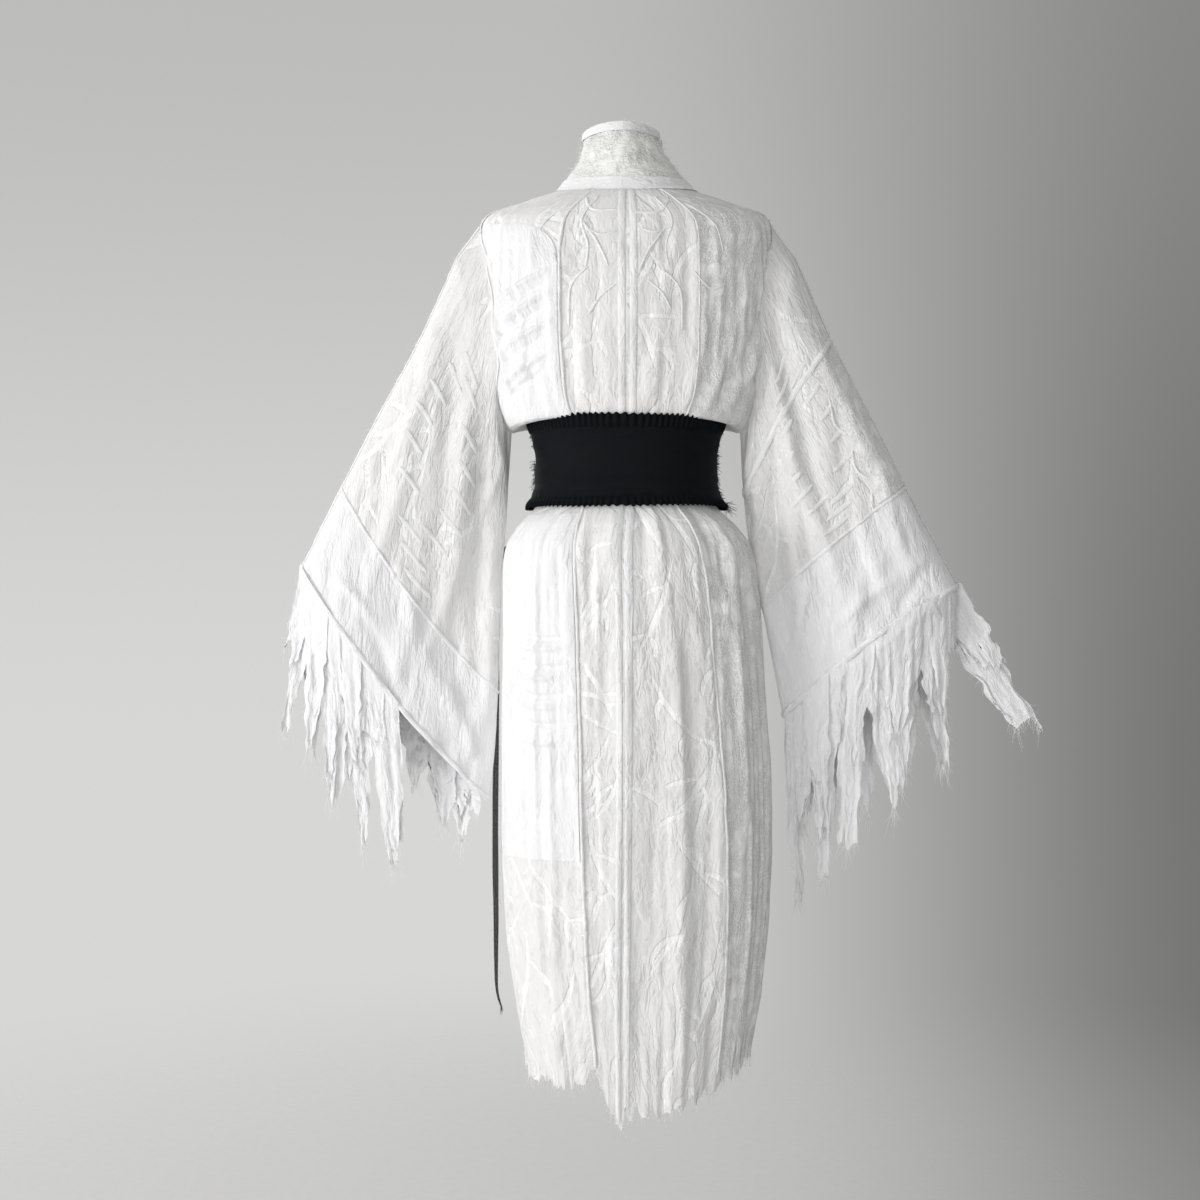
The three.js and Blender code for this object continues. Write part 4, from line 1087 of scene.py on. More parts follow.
@dataclass(frozen=True)
class KnitFinish:
    """Finish of the black belt knit and its trimmings."""

    name: str
    colour: Triple
    rib: float = 0.12 * MM
    alpha: float = 1.0

    def material(self) -> bpy.types.Material:
        """The finish as a material."""
        made, b, shader = new_material(self.name)
        shader.inputs["Roughness"].default_value = 0.7
        shader.inputs["Specular IOR Level"].default_value = 0.09
        flat = b.add("ShaderNodeUVMap", uv_map="flat").outputs[0]
        cloudy = b.noise(b.stretched(flat, 20, 60), 1.0, 3.0)
        paler = (*(1.5 * c for c in self.colour), 1)
        b.join(b.tint(cloudy, (*self.colour, 1), paler), shader.inputs["Base Color"])
        if self.alpha < 1:
            gaps = b.steps(b.noise(b.stretched(flat, 900, 500), 1.0, 1.0), 0.35, 0.6)
            b.join(b.blend(gaps, self.alpha, 1.0), shader.inputs["Alpha"])
        wale = b.add("ShaderNodeTexWave", wave_type="BANDS", bands_direction="X")
        b.join(flat, wale.inputs["Vector"])
        wale.inputs["Scale"].default_value = 210
        pull = b.noise(b.stretched(flat, 9, 140), 1.0, 3.0)
        bump = b.add("ShaderNodeBump")
        bump.inputs["Distance"].default_value = 1.0
        pulled = b.math("MULTIPLY", pull, 0.6 * MM)
        height = b.math("ADD", b.math("MULTIPLY", wale.outputs[1], self.rib), pulled)
        b.join(height, bump.inputs["Height"])
        b.join(bump.outputs[0], shader.inputs["Normal"])
        return made


COTTON = ClothFinish("plain_cotton", Ground.PLAIN, (0.86, 0.86, 0.875), (0.92, 0.92, 0.935), 0.96, 1.0)
SHEER = ClothFinish("sheer_gauze", Ground.SHEER, (0.785, 0.78, 0.775), (0.97, 0.97, 0.98), 0.90, 1.0,
                    crinkle=0.56 * MM, motif_height=0.7 * MM)
LACE = ClothFinish("lace_gauze", Ground.LACE, (0.73, 0.73, 0.72), (0.94, 0.94, 0.94), 0.86, 1.0,
                   crinkle=0.5 * MM, motif_height=0.4 * MM)
COLLAR_LACE = ClothFinish("collar_lace", Ground.LACE, (0.86, 0.86, 0.83), (0.90, 0.90, 0.88), 0.97, 1.0,
                          crinkle=0.7 * MM, motif_height=0.9 * MM, cell=150)
KNIT = KnitFinish("black_knit", (0.0030, 0.0036, 0.0050))
TAPE = KnitFinish("black_tape", (0.004, 0.004, 0.0045), alpha=0.8)


# ---------------------------------------------------------------- pieces
def show(piece: bpy.types.Object, nodes: Sequence[str] = ()) -> bpy.types.Object:
    """Puts a piece on the robe's body and what it stands for."""
    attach(piece, "root")
    if nodes:
        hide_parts(*nodes)
    log.info("%s: %d faces", piece.name, len(piece.data.polygons))
    return piece


def declare(grid: Array,
            with_pieces: Sequence[bpy.types.Object] = ()) -> None:
    """Works out the size a sheet was cut to, measured over its uncreased shape, and keeps none of it.

    Args:
        grid: its points before it was creased.
        with_pieces: threads and seams that go with it.
    """
    down = unit(np.gradient(grid, axis=0))
    across = np.diff(grid, axis=1)
    # Square to the length, so that a torn hem's zigzag does not count as width.
    widths = np.linalg.norm(np.cross(across, down[:, 1:]), axis=-1).sum(1)
    lengths = np.linalg.norm(np.diff(grid, axis=0), axis=-1).sum(0)
    area_of(grid)
    list(with_pieces)


class Slot(Enum):
    """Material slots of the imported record."""

    SHEER = "sheer_gauze"
    LACE = "lace_gauze"
    COTTON = "plain_cotton"
    KNIT = "black_knit"


class Wardrobe:
    """All the robe's materials, made once."""

    def __init__(self) -> None:
        GROUPS["crinkle"] = crinkle_group()
        GROUPS["lace"] = lace_group()
        self.cotton = COTTON.material()
        self.sheer = SHEER.material()
        self.lace = LACE.material()
        self.collar = COLLAR_LACE.material()
        self.knit = KNIT.material()
        self.tape = TAPE.material()
        self.thread = self.plain("cotton_thread", (0.80, 0.80, 0.79), 0.8)
        self.dark_thread = self.plain("black_thread", (0.012, 0.012, 0.013), 0.6)

    @staticmethod
    def plain(name: str, colour: Triple, rough: float) -> bpy.types.Material:
        """A thread's material, a little uneven along it."""
        made, b, shader = new_material(name)
        shader.inputs["Roughness"].default_value = rough
        spot = b.noise(b.add("ShaderNodeTexCoord").outputs["Object"], 120, 2.0)
        paler = (*(min(1.0, 1.2 * c) for c in colour), 1)
        b.join(b.tint(spot, (*colour, 1), paler), shader.inputs["Base Color"])
        return made


Surface = Callable[[Array, Array, float], Array]


class RaisedSeams:
    """Narrow raised seams with frayed edges, run over a surface as one mesh."""

    def __init__(self, name: str, seed: int) -> None:
        self.cloth = ClothMesh(name)
        self.threads = Threads(name + "_threads", seed)
        self.wobble = Ripple(seed + 1)
        self.count = 0

    def run(self, surface: Surface, first: Sequence[float], second: Sequence[float], width: float = 3.0,
            height: float = 1.6, fray: float = 1.0) -> None:
        """Adds a seam along a path.

        Args:
            surface: gives points at two parameters and a lift.
            first: the path's first parameter at each of its corners.
            second: its second parameter there.
            width: half width in mm.
            height: height in mm.
            fray: how thickly threads stand from it.
        """
        corner = np.linspace(0, len(first) - 1, 700)
        a, b = through(first, corner), through(second, corner)
        line = surface(a, b, 0.0)
        length = run_length(line)
        even = np.linspace(0, length[-1], max(6, int(length[-1] / (2.6 * MM))))
        a, b = np.interp(even, length, a), np.interp(even, length, b)
        base = surface(a, b, 0.6 * MM)
        out = unit(surface(a, b, 2.6 * MM) - base)
        run = unit(np.gradient(base, axis=0))
        side = unit(np.cross(out, run))
        self.count += 1
        share = np.linspace(-1, 1, 7)
        spread = width * (1 + 0.15 * self.wobble(even, self.count, 0.022, 1)) * MM
        rise = height * (1 + 0.2 * self.wobble(even, self.count + 40, 0.012, 1)) * MM
        drift = 0.9 * MM * self.wobble(even, self.count + 80, 0.03, 1)
        ends = np.minimum(1, np.minimum(even, even[-1] - even) / (6 * MM) + 0.15)
        grid = base[:, None] + side[:, None] * ((spread * ends)[:, None] * share + drift[:, None])[..., None]
        grid = grid + out[:, None] * ((rise * ends)[:, None] * (1 - share ** 2) ** 0.7)[..., None]
        self.cloth.add(grid)
        if fray:
            random = self.threads.random
            picks = random.integers(0, len(even), int(len(even) * 0.95 * fray))
            edge = grid[picks, random.choice([0, 3, 6], len(picks))]
            away = side[picks] * random.choice([-1.0, 1.0], len(picks))[:, None]
            self.threads.sprout(edge, away * 0.7 + out[picks] * 0.7, 0.5, 1 * MM, 9 * MM)

    def build(self, wardrobe: Wardrobe) -> list[bpy.types.Object]:
        """The seams and their threads."""
        return [show(self.cloth.build(wardrobe.cotton)),
                show(self.threads.build(wardrobe.thread))]


# Sprigs of raised seams on the back, as corners (angle in degrees, height in mm) of the left half.
SPRIGS = (
    ((13, -24), (15, -60), (12, -96), (13, -130)), ((15, -62), (8, -100), (5, -128)),
    ((21, -24), (13, -44), (3, -46)), ((14, -70), (8, -82), (3, -78)),
    ((12, -196), (8, -172), (3, -154)), ((26, -36), (33, -76), (36, -112)),
    ((12, -128), (19, -158), (20, -214)), ((24, -128), (31, -150), (38, -148)),
)


@dataclass
class BodyPanel:
    """One panel of the robe's body between two lengthwise edges."""

    name: str
    slot: Slot
    left: Edge
    right: Edge
    start: float = 0.0
    raised: bool = False  # whether it lies over the other front
    seed: int = 1
    vines: bool = True

    def grid(self, creased: bool) -> Array:
        """Points of the panel."""
        rows = BODY.rows(self.start, LAST)[:, None]
        middle = BODY.column("half", np.array(float(ROW["thigh"]))) * MM * 0.8
        widest = math.radians(float((self.right(rows) - self.left(rows)).max()))
        columns = max(8, int(widest * middle / PITCH))
        share = np.linspace(0, 1, columns + 1)[None]
        angle = mix(self.left(rows), self.right(rows), share)
        row = rows + 0 * share
        lift = overlap_lift(angle, row) if self.raised else 0.0
        return BODY.point(angle, row, lift, creased)

    def build(self, material: bpy.types.Material, thread: bpy.types.Material,
              with_pieces: Sequence[bpy.types.Object] = ()) -> bpy.types.Object:
        """The panel's sheet with its hem's threads, and the pieces that go with it."""
        grid, smooth_grid = self.grid(True), self.grid(False)
        flat = flat_of(smooth_grid)
        cloth = ClothMesh(self.name)
        motif = Vines(self.seed).field(flat) if self.vines else None
        cloth.add(grid, flat, motif)
        piece = show(cloth.build(material), [self.name])
        hem = Threads(self.name + "_hem_threads", self.seed + 200)
        hem.sprout(np.repeat(grid[-1], 3, axis=0), np.array([0, 0, -1.0]), 0.3, 1 * MM, 15 * MM)
        hem.sprout(np.repeat(grid[-2], 2, axis=0), np.array([0, 0.8, -1.0]), 0.5, 1 * MM, 7 * MM)
        fringe = show(hem.build(thread))
        declare(smooth_grid, [*with_pieces, fringe])
        return piece


@dataclass
class LaidPatch:
    """An opaque patch or a binding that lies on the body's cloth."""

    name: str
    left: Edge
    right: Edge
    start: float
    end: float
    pitch: float = PITCH
    lift: float = LAYER
    corner: float = 0.0  # radius in metres of its rounded top corner
    crown: float = 0.0  # how far its middle stands up across its width

    def grid(self, creased: bool) -> Array:
        """Points of the patch."""
        rows = BODY.rows(self.start, self.end, self.pitch)[:, None]
        wide = math.radians(float((self.right(rows) - self.left(rows)).max())) * 0.15
        share = np.linspace(0, 1, max(4, int(wide / self.pitch)) + 1)[None]
        row = rows + 0 * share
        if self.corner:
            cut = 0.9 * (1 - np.sqrt(np.clip(1 - np.clip(1 - share / 0.35, 0, 1) ** 2, 0, 1)))
            row = row + cut * np.clip(1 - (row - self.start) / 0.9, 0, 1)
        angle = mix(self.left(row), self.right(row), share)
        raised = self.lift + self.crown * (1 - (2 * share - 1) ** 2)
        return BODY.point(angle, row, raised + 0 * row, creased)

    def build(self, material: bpy.types.Material) -> bpy.types.Object:
        """The patch's sheet."""
        cloth = ClothMesh(self.name)
        cloth.add(self.grid(True))
        piece = show(cloth.build(material), [self.name])
        declare(self.grid(False))
        return piece


@dataclass
class RobeBody:
    """Back, sides and fronts of the robe, with the patches and bindings on them."""

    wardrobe: Wardrobe

    def seams(self) -> RaisedSeams:
        """The raised seams of the body."""
        made = RaisedSeams("body_seams", 111)
        skin = lambda angle, row, lift: BODY.point(angle, row, lift + overlap_lift(angle, row))

        def along(edge: Edge, start: float, end: float, sign: int, width: float, height: float,
                  fray: float = 1.0) -> None:
            """A seam down an edge that is a function of the row."""
            rows = np.linspace(start, end, 60)
            made.run(skin, sign * edge(rows), rows, width, height, fray)

        along(LEFT, 0.1, ROW["blouse"], 1, 2.4, 1.5)
        along(LEFT, ROW["belt_foot"], LAST - 0.1, 1, 2.4, 1.4)
        along(RIGHT, ROW["belt_foot"], LAST - 0.2, 1, 2.6, 1.5)
        along(RIGHT, 0.1, ROW["blouse"], 1, 1.6, 0.8)
        along(lambda row: front_edge(row) - 0.6, ROW["belt_foot"], LAST - 0.6, 1, 3.0, 1.6)
        for sign in (1, -1):
            along(lambda row: armhole(row, 1), ROW["shoulder"], ROW["blouse"], sign, 2.6, 0.8)
            along(lambda row: armhole(row, -1), ROW["shoulder"], ROW["blouse"], sign, 2.6, 0.8)
            along(FRONT, ROW["yoke"], LAST - 0.9, sign, 2.4, 1.0)
            along(lambda row: 86 + 0 * row, 0.1, ROW["shoulder"] + 0.3, sign, 3.0, 2.4, 2.0)
            for i, sprig in enumerate(SPRIGS):
                shift = 2.2 * math.sin(5.1 * i) if sign < 0 else 0.0
                angles = [sign * (a + shift) for a, _ in sprig]
                rows = [BODY.row_at(a, z + (3 * shift)) for a, (_, z) in zip(angles, sprig)]
                made.run(skin, angles, rows, 1.7, 0.7, 0.8)
        return made

    def build(self) -> None:
        """Builds every body panel and what lies on it."""
        w = self.wardrobe
        arm_back = lambda row: armhole(row, 1)
        arm_front = lambda row: armhole(row, -1)
        mirror = lambda edge: lambda row: -edge(row)
        panels = (
            BodyPanel("back_centre_left", Slot.SHEER, CENTRE, LEFT, seed=3),
            BodyPanel("back_centre_right", Slot.SHEER, RIGHT, CENTRE, seed=4),
            BodyPanel("back_side_left", Slot.SHEER, LEFT, arm_back, seed=5),
            BodyPanel("back_side_right", Slot.LACE, mirror(arm_back), RIGHT, seed=6),
            BodyPanel("front_left", Slot.SHEER, arm_front, front_seam, raised=True, seed=7),
            BodyPanel("front_right", Slot.LACE, mirror(front_seam), mirror(arm_front), seed=8),
            BodyPanel("overlap_left", Slot.SHEER, front_seam, front_edge, ROW["yoke"], True, seed=9),
            BodyPanel("overlap_right", Slot.LACE, mirror(front_edge), mirror(front_seam), ROW["yoke"],
                      seed=10),
        )
        seams = self.seams().build(w)
        for panel in panels:
            panel.build(w.sheer if panel.slot is Slot.SHEER else w.lace, w.thread, seams)
            seams = []
        inner = lambda row: LEFT(row) + 0.8
        outer = lambda row: arm_back(row) - (arm_back(row) - LEFT(row)) / 6
        LaidPatch("patch_shoulder_left", inner, outer, ROW["shoulder"] + 0.15, ROW["blouse"] - 0.1,
                  FINE_PITCH, corner=0.03).build(w.cotton)
        LaidPatch("patch_skirt_left", inner, outer, ROW["flare"] - 0.5, ROW["knee"] + 0.4,
                  FINE_PITCH).build(w.cotton)
        uneven = Ripple(14)
        reach = lambda row: np.degrees(BINDING_HALF / (BODY.column("half", row) * MM * 0.8))
        slim = lambda row: (0.98 + 0.06 * uneven(row, 0, 0.4, 1)) * reach(row)
        inside = lambda sign: lambda row: CENTRE(row) + sign * 0.5
        outside = lambda sign: lambda row: CENTRE(row) + sign * (0.5 + slim(row))
        for name, left, right in (("back_binding_left", inside(1), outside(1)),
                                  ("back_binding_right", outside(-1), inside(-1))):
            LaidPatch(name, left, right, 0.1, LAST - 0.05, 2.2 * MM, 1.0 * MM, crown=0.9 * MM).build(w.cotton)


@dataclass
class SleevePart:
    """A stretch of a sleeve between two stations, all round it or over part of it."""

    name: str
    slot: Slot
    shape: SleeveShape
    start: float
    end: float
    first: float = 0.0  # turn at which it starts, in radians
    last: float = 2 * math.pi
    lift: float = 0.0
    seed: int = 1
    vines: bool = False

    def grid(self, creased: bool) -> tuple[Array, bool]:
        """Points of the part, and whether it is a closed ring."""
        whole = self.last - self.first > 6.2
        at = self.shape.stations_between(self.start, self.end)[:, None]
        around = np.linspace(self.first, self.last, 150 if whole else 60)
        turn = around[None, :-1] if whole else around[None]
        if creased:
            return self.shape.point(at, turn, self.lift), whole
        return self.shape.smooth_point(at + 0 * turn, turn + 0 * at), whole

    def build(self, material: bpy.types.Material,
              with_pieces: Sequence[bpy.types.Object] = ()) -> bpy.types.Object:
        """The part's sheet, and the pieces that go with it."""
        grid, whole = self.grid(True)
        plain = self.grid(False)[0]
        if whole:
            grid, plain = (np.concatenate([g, g[:, :1]], 1) for g in (grid, plain))
        flat = flat_of(plain)
        cloth = ClothMesh(self.name)
        motif = Vines(self.seed).field(flat) if self.vines else None
        cloth.add(grid, flat, motif, flip=self.shape.mirror > 0)
        piece = show(cloth.build(material), [self.name])
        declare(plain, with_pieces)
        return piece


@dataclass
class TornStrips:
    """Ragged strips of cloth under one half of a cuff."""

    name: str
    shape: SleeveShape
    rags: Sequence[Rag]
    face: int  # +1 behind the arm, -1 before it
    seed: int
    wardrobe: Wardrobe

    def rag_grid(self, rag: Rag, rise: float, depth: float, random: np.random.Generator) -> Array:
        """Points of one strip that starts a little above the cuff line."""
        shape = self.shape
        top = shape.cuff_height(np.array(rag.at))
        long = float(top - rag.tip_z)
        rows, columns = max(10, int(long / 4.2)), max(5, int(rag.width / 3.4))
        t = np.linspace(0, 1, rows + 1)[:, None]
        s = np.linspace(-0.5, 0.5, columns + 1)[None]
        ripple = Ripple(int(random.integers(1 << 30)))
        half = mix(rag.width, rag.tip, t ** 2.1) * (1 + 0.28 * smooth(0.1, 0.6, t) * ripple(t, 0, 0.12, 1))
        drift = mix(rag.at, rag.tip_x, t ** 1.2) + 5 * smooth(0.1, 1, t) * ripple(t, 7, 0.3, 1)
        frayed = s * half + 2.0 * smooth(0.1, 0.5, t) * ripple(t, 20 * s + 40, 0.05, 6)
        x = drift + frayed
        bottom = rag.tip_z + 13 * ripple(s, 3, 0.22, 1) * np.minimum(1, rag.tip / 12)
        start = shape.cuff_height(np.clip(x[:1], shape.stations[-1].low_x, shape.stations[-1].top_x)) + rise
        z = mix(start, bottom, t)
        pleats = 2.6 * ripple(s * half, t * long, 6.5, 120) + 1.5 * ripple(s * half + 9, t * long, 3.3, 45)
        pleats = pleats + 0.7 * ripple(s * half, t * long + 400, 1.9, 9)
        sway = 5 * smooth(0, 1, t) * ripple(t, 11, 0.4, 1)
        y = shape.stations[-1].y + self.face * (shape.cuff_depth(x, z) + depth)
        y = y + pleats * smooth(0, 0.15, t) + sway
        return np.stack([shape.mirror * x, y, z], -1) * MM

    def build(self) -> bpy.types.Object:
        """The strips as one sheet, with loose threads at their edges."""
        random = np.random.default_rng(self.seed)
        cloth = ClothMesh(self.name)
        threads = Threads(self.name + "_threads", self.seed + 50)
        cuff = self.shape.stations[-1]
        for layer in range(3):
            for rag in self.rags:
                if layer == 0:
                    made = rag
                else:
                    low = float(self.shape.cuff_height(np.array(rag.at)))
                    share = random.uniform(0.55, 0.92) if layer == 1 else random.uniform(0.35, 0.7)
                    at = rag.at + random.uniform(-14, 14)
                    width = rag.width * random.uniform(0.8, 1.3)
                    tip_x = mix(at, rag.tip_x, share) + random.uniform(-6, 6)
                    tip = rag.tip * random.uniform(0.4, 1.0) + 3
                    made = Rag(at, width, tip_x, mix(low, rag.tip_z, share), tip)
                at = float(np.clip(made.at, cuff.low_x + made.width / 2, cuff.top_x - made.width / 2))
                made = Rag(at, made.width * 1.3, made.tip_x, made.tip_z, made.tip)
                depth = [0.0, 2.4, -2.2][layer] + random.uniform(-0.8, 0.8)
                grid = self.rag_grid(made, 3.0 + layer, depth, random)
                cloth.add(grid, flip=self.face * self.shape.mirror > 0)
                self.fray(grid, threads)
        band = self.band(random)
        cloth.add(band, flip=self.face * self.shape.mirror > 0)
        threads.sprout(np.repeat(band[-1], 3, axis=0), np.array([0, 0, -1.0]), 0.25, 1 * MM, 14 * MM)
        piece = cloth.build(self.wardrobe.cotton)
        fringe = show(threads.build(self.wardrobe.thread))
        show(piece, [self.name])
        return piece

    def band(self, random: np.random.Generator) -> Array:
        """The unbroken pleated cloth from which the strips are torn, with its ragged lower edge."""
        shape = self.shape
        cuff = shape.stations[-1]
        rags = sorted(self.rags, key=lambda rag: rag.at)
        first = max(cuff.low_x + 3, rags[0].at - 24)
        x = np.linspace(first, min(cuff.top_x - 3, rags[-1].at + 10), 130)[None]
        top = shape.cuff_height(x)
        longs = [float(shape.cuff_height(np.array(rag.at))) - rag.tip_z for rag in rags]
        ripple = Ripple(int(random.integers(1 << 30)))
        long = np.interp(x, [rag.at for rag in rags], longs) * (0.42 + 0.12 * ripple(x, 0, 26, 1))
        long = long + 9 * ripple(x, 5, 7, 1) + 5 * ripple(x, 9, 3, 1)
        t = np.linspace(0, 1, 30)[:, None]
        z = top + 4 - np.maximum(long, 14) * t
        across = x + 3 * smooth(0.1, 1, t) * ripple(x, t, 9, 0.5)
        pleats = 3.2 * ripple(x, z, 9, 130) + 1.8 * ripple(x + 50, z, 4.2, 50)
        pleats = pleats + 0.8 * ripple(x, z + 90, 2.2, 10)
        y = cuff.y + self.face * (shape.cuff_depth(across, z) + 0.8) + pleats * smooth(0, 0.25, t)
        return np.stack([shape.mirror * across, y, z], -1) * MM

    def fray(self, grid: Array, threads: Threads) -> None:
        """Loose threads along the sides and the foot of one strip."""
        for column, way in ((0, -1), (-1, 1)):
            edge = grid[3:, column][::2]
            threads.sprout(edge, np.array([way * self.shape.mirror * 0.8, 0, -0.7]), 0.35, 1 * MM, 11 * MM)
        foot = np.repeat(grid[-1], 4, axis=0)
        threads.sprout(foot, np.array([0, 0, -1.0]), 0.22, 2 * MM, 26 * MM)


@dataclass
class Sleeves:
    """Both sleeves, with the torn strips under their cuffs."""

    wardrobe: Wardrobe

    def seams(self, shape: SleeveShape, seed: int) -> RaisedSeams:
        """The raised seams of one sleeve."""
        made = RaisedSeams("sleeve_seams_left" if shape.mirror > 0 else "sleeve_seams_right", seed)
        skin = lambda at, turn, lift: shape.point(at, turn, lift)
        turns = np.linspace(0.03, 2 * math.pi - 0.03, 80)
        rounds = [(JOIN, 2.6, 1.0), (shape.end - 0.02, 4.0, 1.6)]
        if shape.mirror < 0:
            rounds.append((CAP, 4.2, 1.3))
        for at, width, height in rounds:
            rise = 0.5 * (1 - np.cos(turns)) / 2 if at == CAP else 0 * turns
            made.run(skin, at - rise, turns, width, height, 1.4)
        run = np.linspace(-0.9, shape.end, 40)
        made.run(skin, run, 0.06 + 0 * run, 2.4, 1.8, 2.2)
        if shape.mirror < 0:
            lace = np.linspace(CAP, JOIN, 30)
            made.run(skin, lace, 0.97 + 0.05 * np.sin(lace * 9), 2.2, 0.9, 2.0)
        for i, middle in enumerate(np.linspace(0.35, JOIN - 0.2, 15)):
            begin = 1.25 + 0.42 * math.sin(2.9 * i)
            short = np.linspace(0, 1, 5)
            made.run(skin, middle - 0.03 * short, begin + 0.34 * short, 3.2, 0.35, 0.8)
            made.run(skin, middle + 0.1 - 0.03 * short, 2 * math.pi - begin - 0.34 * short, 3.2, 0.35, 0.8)
        return made

    def build(self) -> None:
        """Builds both sleeves."""
        w = self.wardrobe
        left = SleeveShape(LEFT_STATIONS, LEFT_DRAPES, 1, 31)
        right = SleeveShape(RIGHT_STATIONS, RIGHT_DRAPES, -1, 41)
        SleevePart("sleeve_upper_left", Slot.SHEER, left, -1, JOIN, seed=51, vines=True).build(w.sheer)
        lower = SleevePart("sleeve_lower_left", Slot.COTTON, left, JOIN, left.end)
        lower.build(w.cotton, self.seams(left, 121).build(w))
        SleevePart("sleeve_cap_right", Slot.SHEER, right, -1, CAP, seed=52, vines=True).build(w.sheer)
        SleevePart("sleeve_upper_right", Slot.SHEER, right, CAP, JOIN, seed=53, vines=True).build(w.sheer)
        inset = SleevePart("sleeve_lace_right", Slot.LACE, right, CAP + 0.02, JOIN - 0.05, 0.12, 0.95, LAYER)
        inset.build(w.lace)
        lower = SleevePart("sleeve_lower_right", Slot.COTTON, right, JOIN, right.end)
        lower.build(w.cotton, self.seams(right, 131).build(w))
        for side, shape, rags in (("left", left, LEFT_RAGS), ("right", right, RIGHT_RAGS)):
            TornStrips(f"torn_strips_back_{side}", shape, rags["back"], 1, 60 + len(side), w).build()
            TornStrips(f"torn_strips_front_{side}", shape, rags["front"], -1, 70 + len(side), w).build()


@dataclass
class StandCollar:
    """The tall stand collar that runs down both front edges, with its two bindings."""

    wardrobe: Wardrobe
    runs: int = 620
    cuts: int = 34

    def grid(self, low: float, high: float, cuts: int, creased: bool, lift: float = 0.0,
             rough: float = 1.0) -> Array:
        """Points of the collar between two shares of its width."""
        share = np.linspace(0.985, -0.985, self.runs + 1)[:, None]
        across = np.linspace(low, high, cuts + 1)[None]
        point = collar_point(share, across)
        if not creased:
            return point
        along = np.gradient(point, axis=0)
        over = np.gradient(point, axis=1)
        out = unit(np.cross(along, over))
        ripple, tuft = Ripple(81), Ripple(82)
        run = run_length(point[:, cuts // 2])[:, None]
        up = across * 0.09
        relief = 3.0 * ripple(run, up, 0.05, 0.03) + 1.6 * ripple(run + 3, up, 0.016, 0.012)
        relief = relief + 0.8 * tuft(run, up, 0.006, 0.005)
        return point + out * (relief * rough * MM + lift)[..., None]

    def build(self) -> None:
        """Builds the collar, its bindings and the threads that stand from it."""
        w = self.wardrobe
        share = COLLAR_BINDING / COLLAR_BACK_REACH
        plain = self.grid(-0.03, 1.0, self.cuts, False)
        body = self.grid(-0.03, 1.0, self.cuts, True)
        cloth = ClothMesh("collar")
        cloth.add(body)
        fluff = Threads("collar_threads", 83)
        random = np.random.default_rng(84)
        picks = body[:, 2:-3].reshape(-1, 3)
        chosen = picks[random.integers(0, len(picks), 4600)]
        outward = unit(chosen - np.array([0.0, 0.0, 0.03])) * np.array([1.0, 1.0, 0.2])
        fluff.sprout(chosen, outward, 0.8, 3 * MM, 13 * MM)
        for across, count in ((-0.05, 900), (0.99, 260)):
            rim = collar_point(random.uniform(-0.9, 0.9, (count, 1)), np.array([[across]]))[:, 0]
            away = unit(rim - np.array([0.0, 0.0, 0.03])) * np.array([1.0, 1.0, 0.2])
            fluff.sprout(rim + away * 3.4 * MM, away + np.array([0.0, 0.0, 0.3]), 0.7, 2 * MM, 11 * MM)
        piece = show(cloth.build(w.collar), ["collar"])
        fringe = show(fluff.build(w.thread, 0.35 * MM))
        declare(plain, [fringe])
        edges = (("collar_top_binding", 1 - share, 1.012), ("collar_base_binding", -0.06, share * 1.1))
        for name, low, high in edges:
            edge = ClothMesh(name)
            edge.add(self.grid(low, high, 10, True, 3.4 * MM, 0.3))
            binding = show(edge.build(w.cotton), [name])
            declare(self.grid(low, high, 8, False))


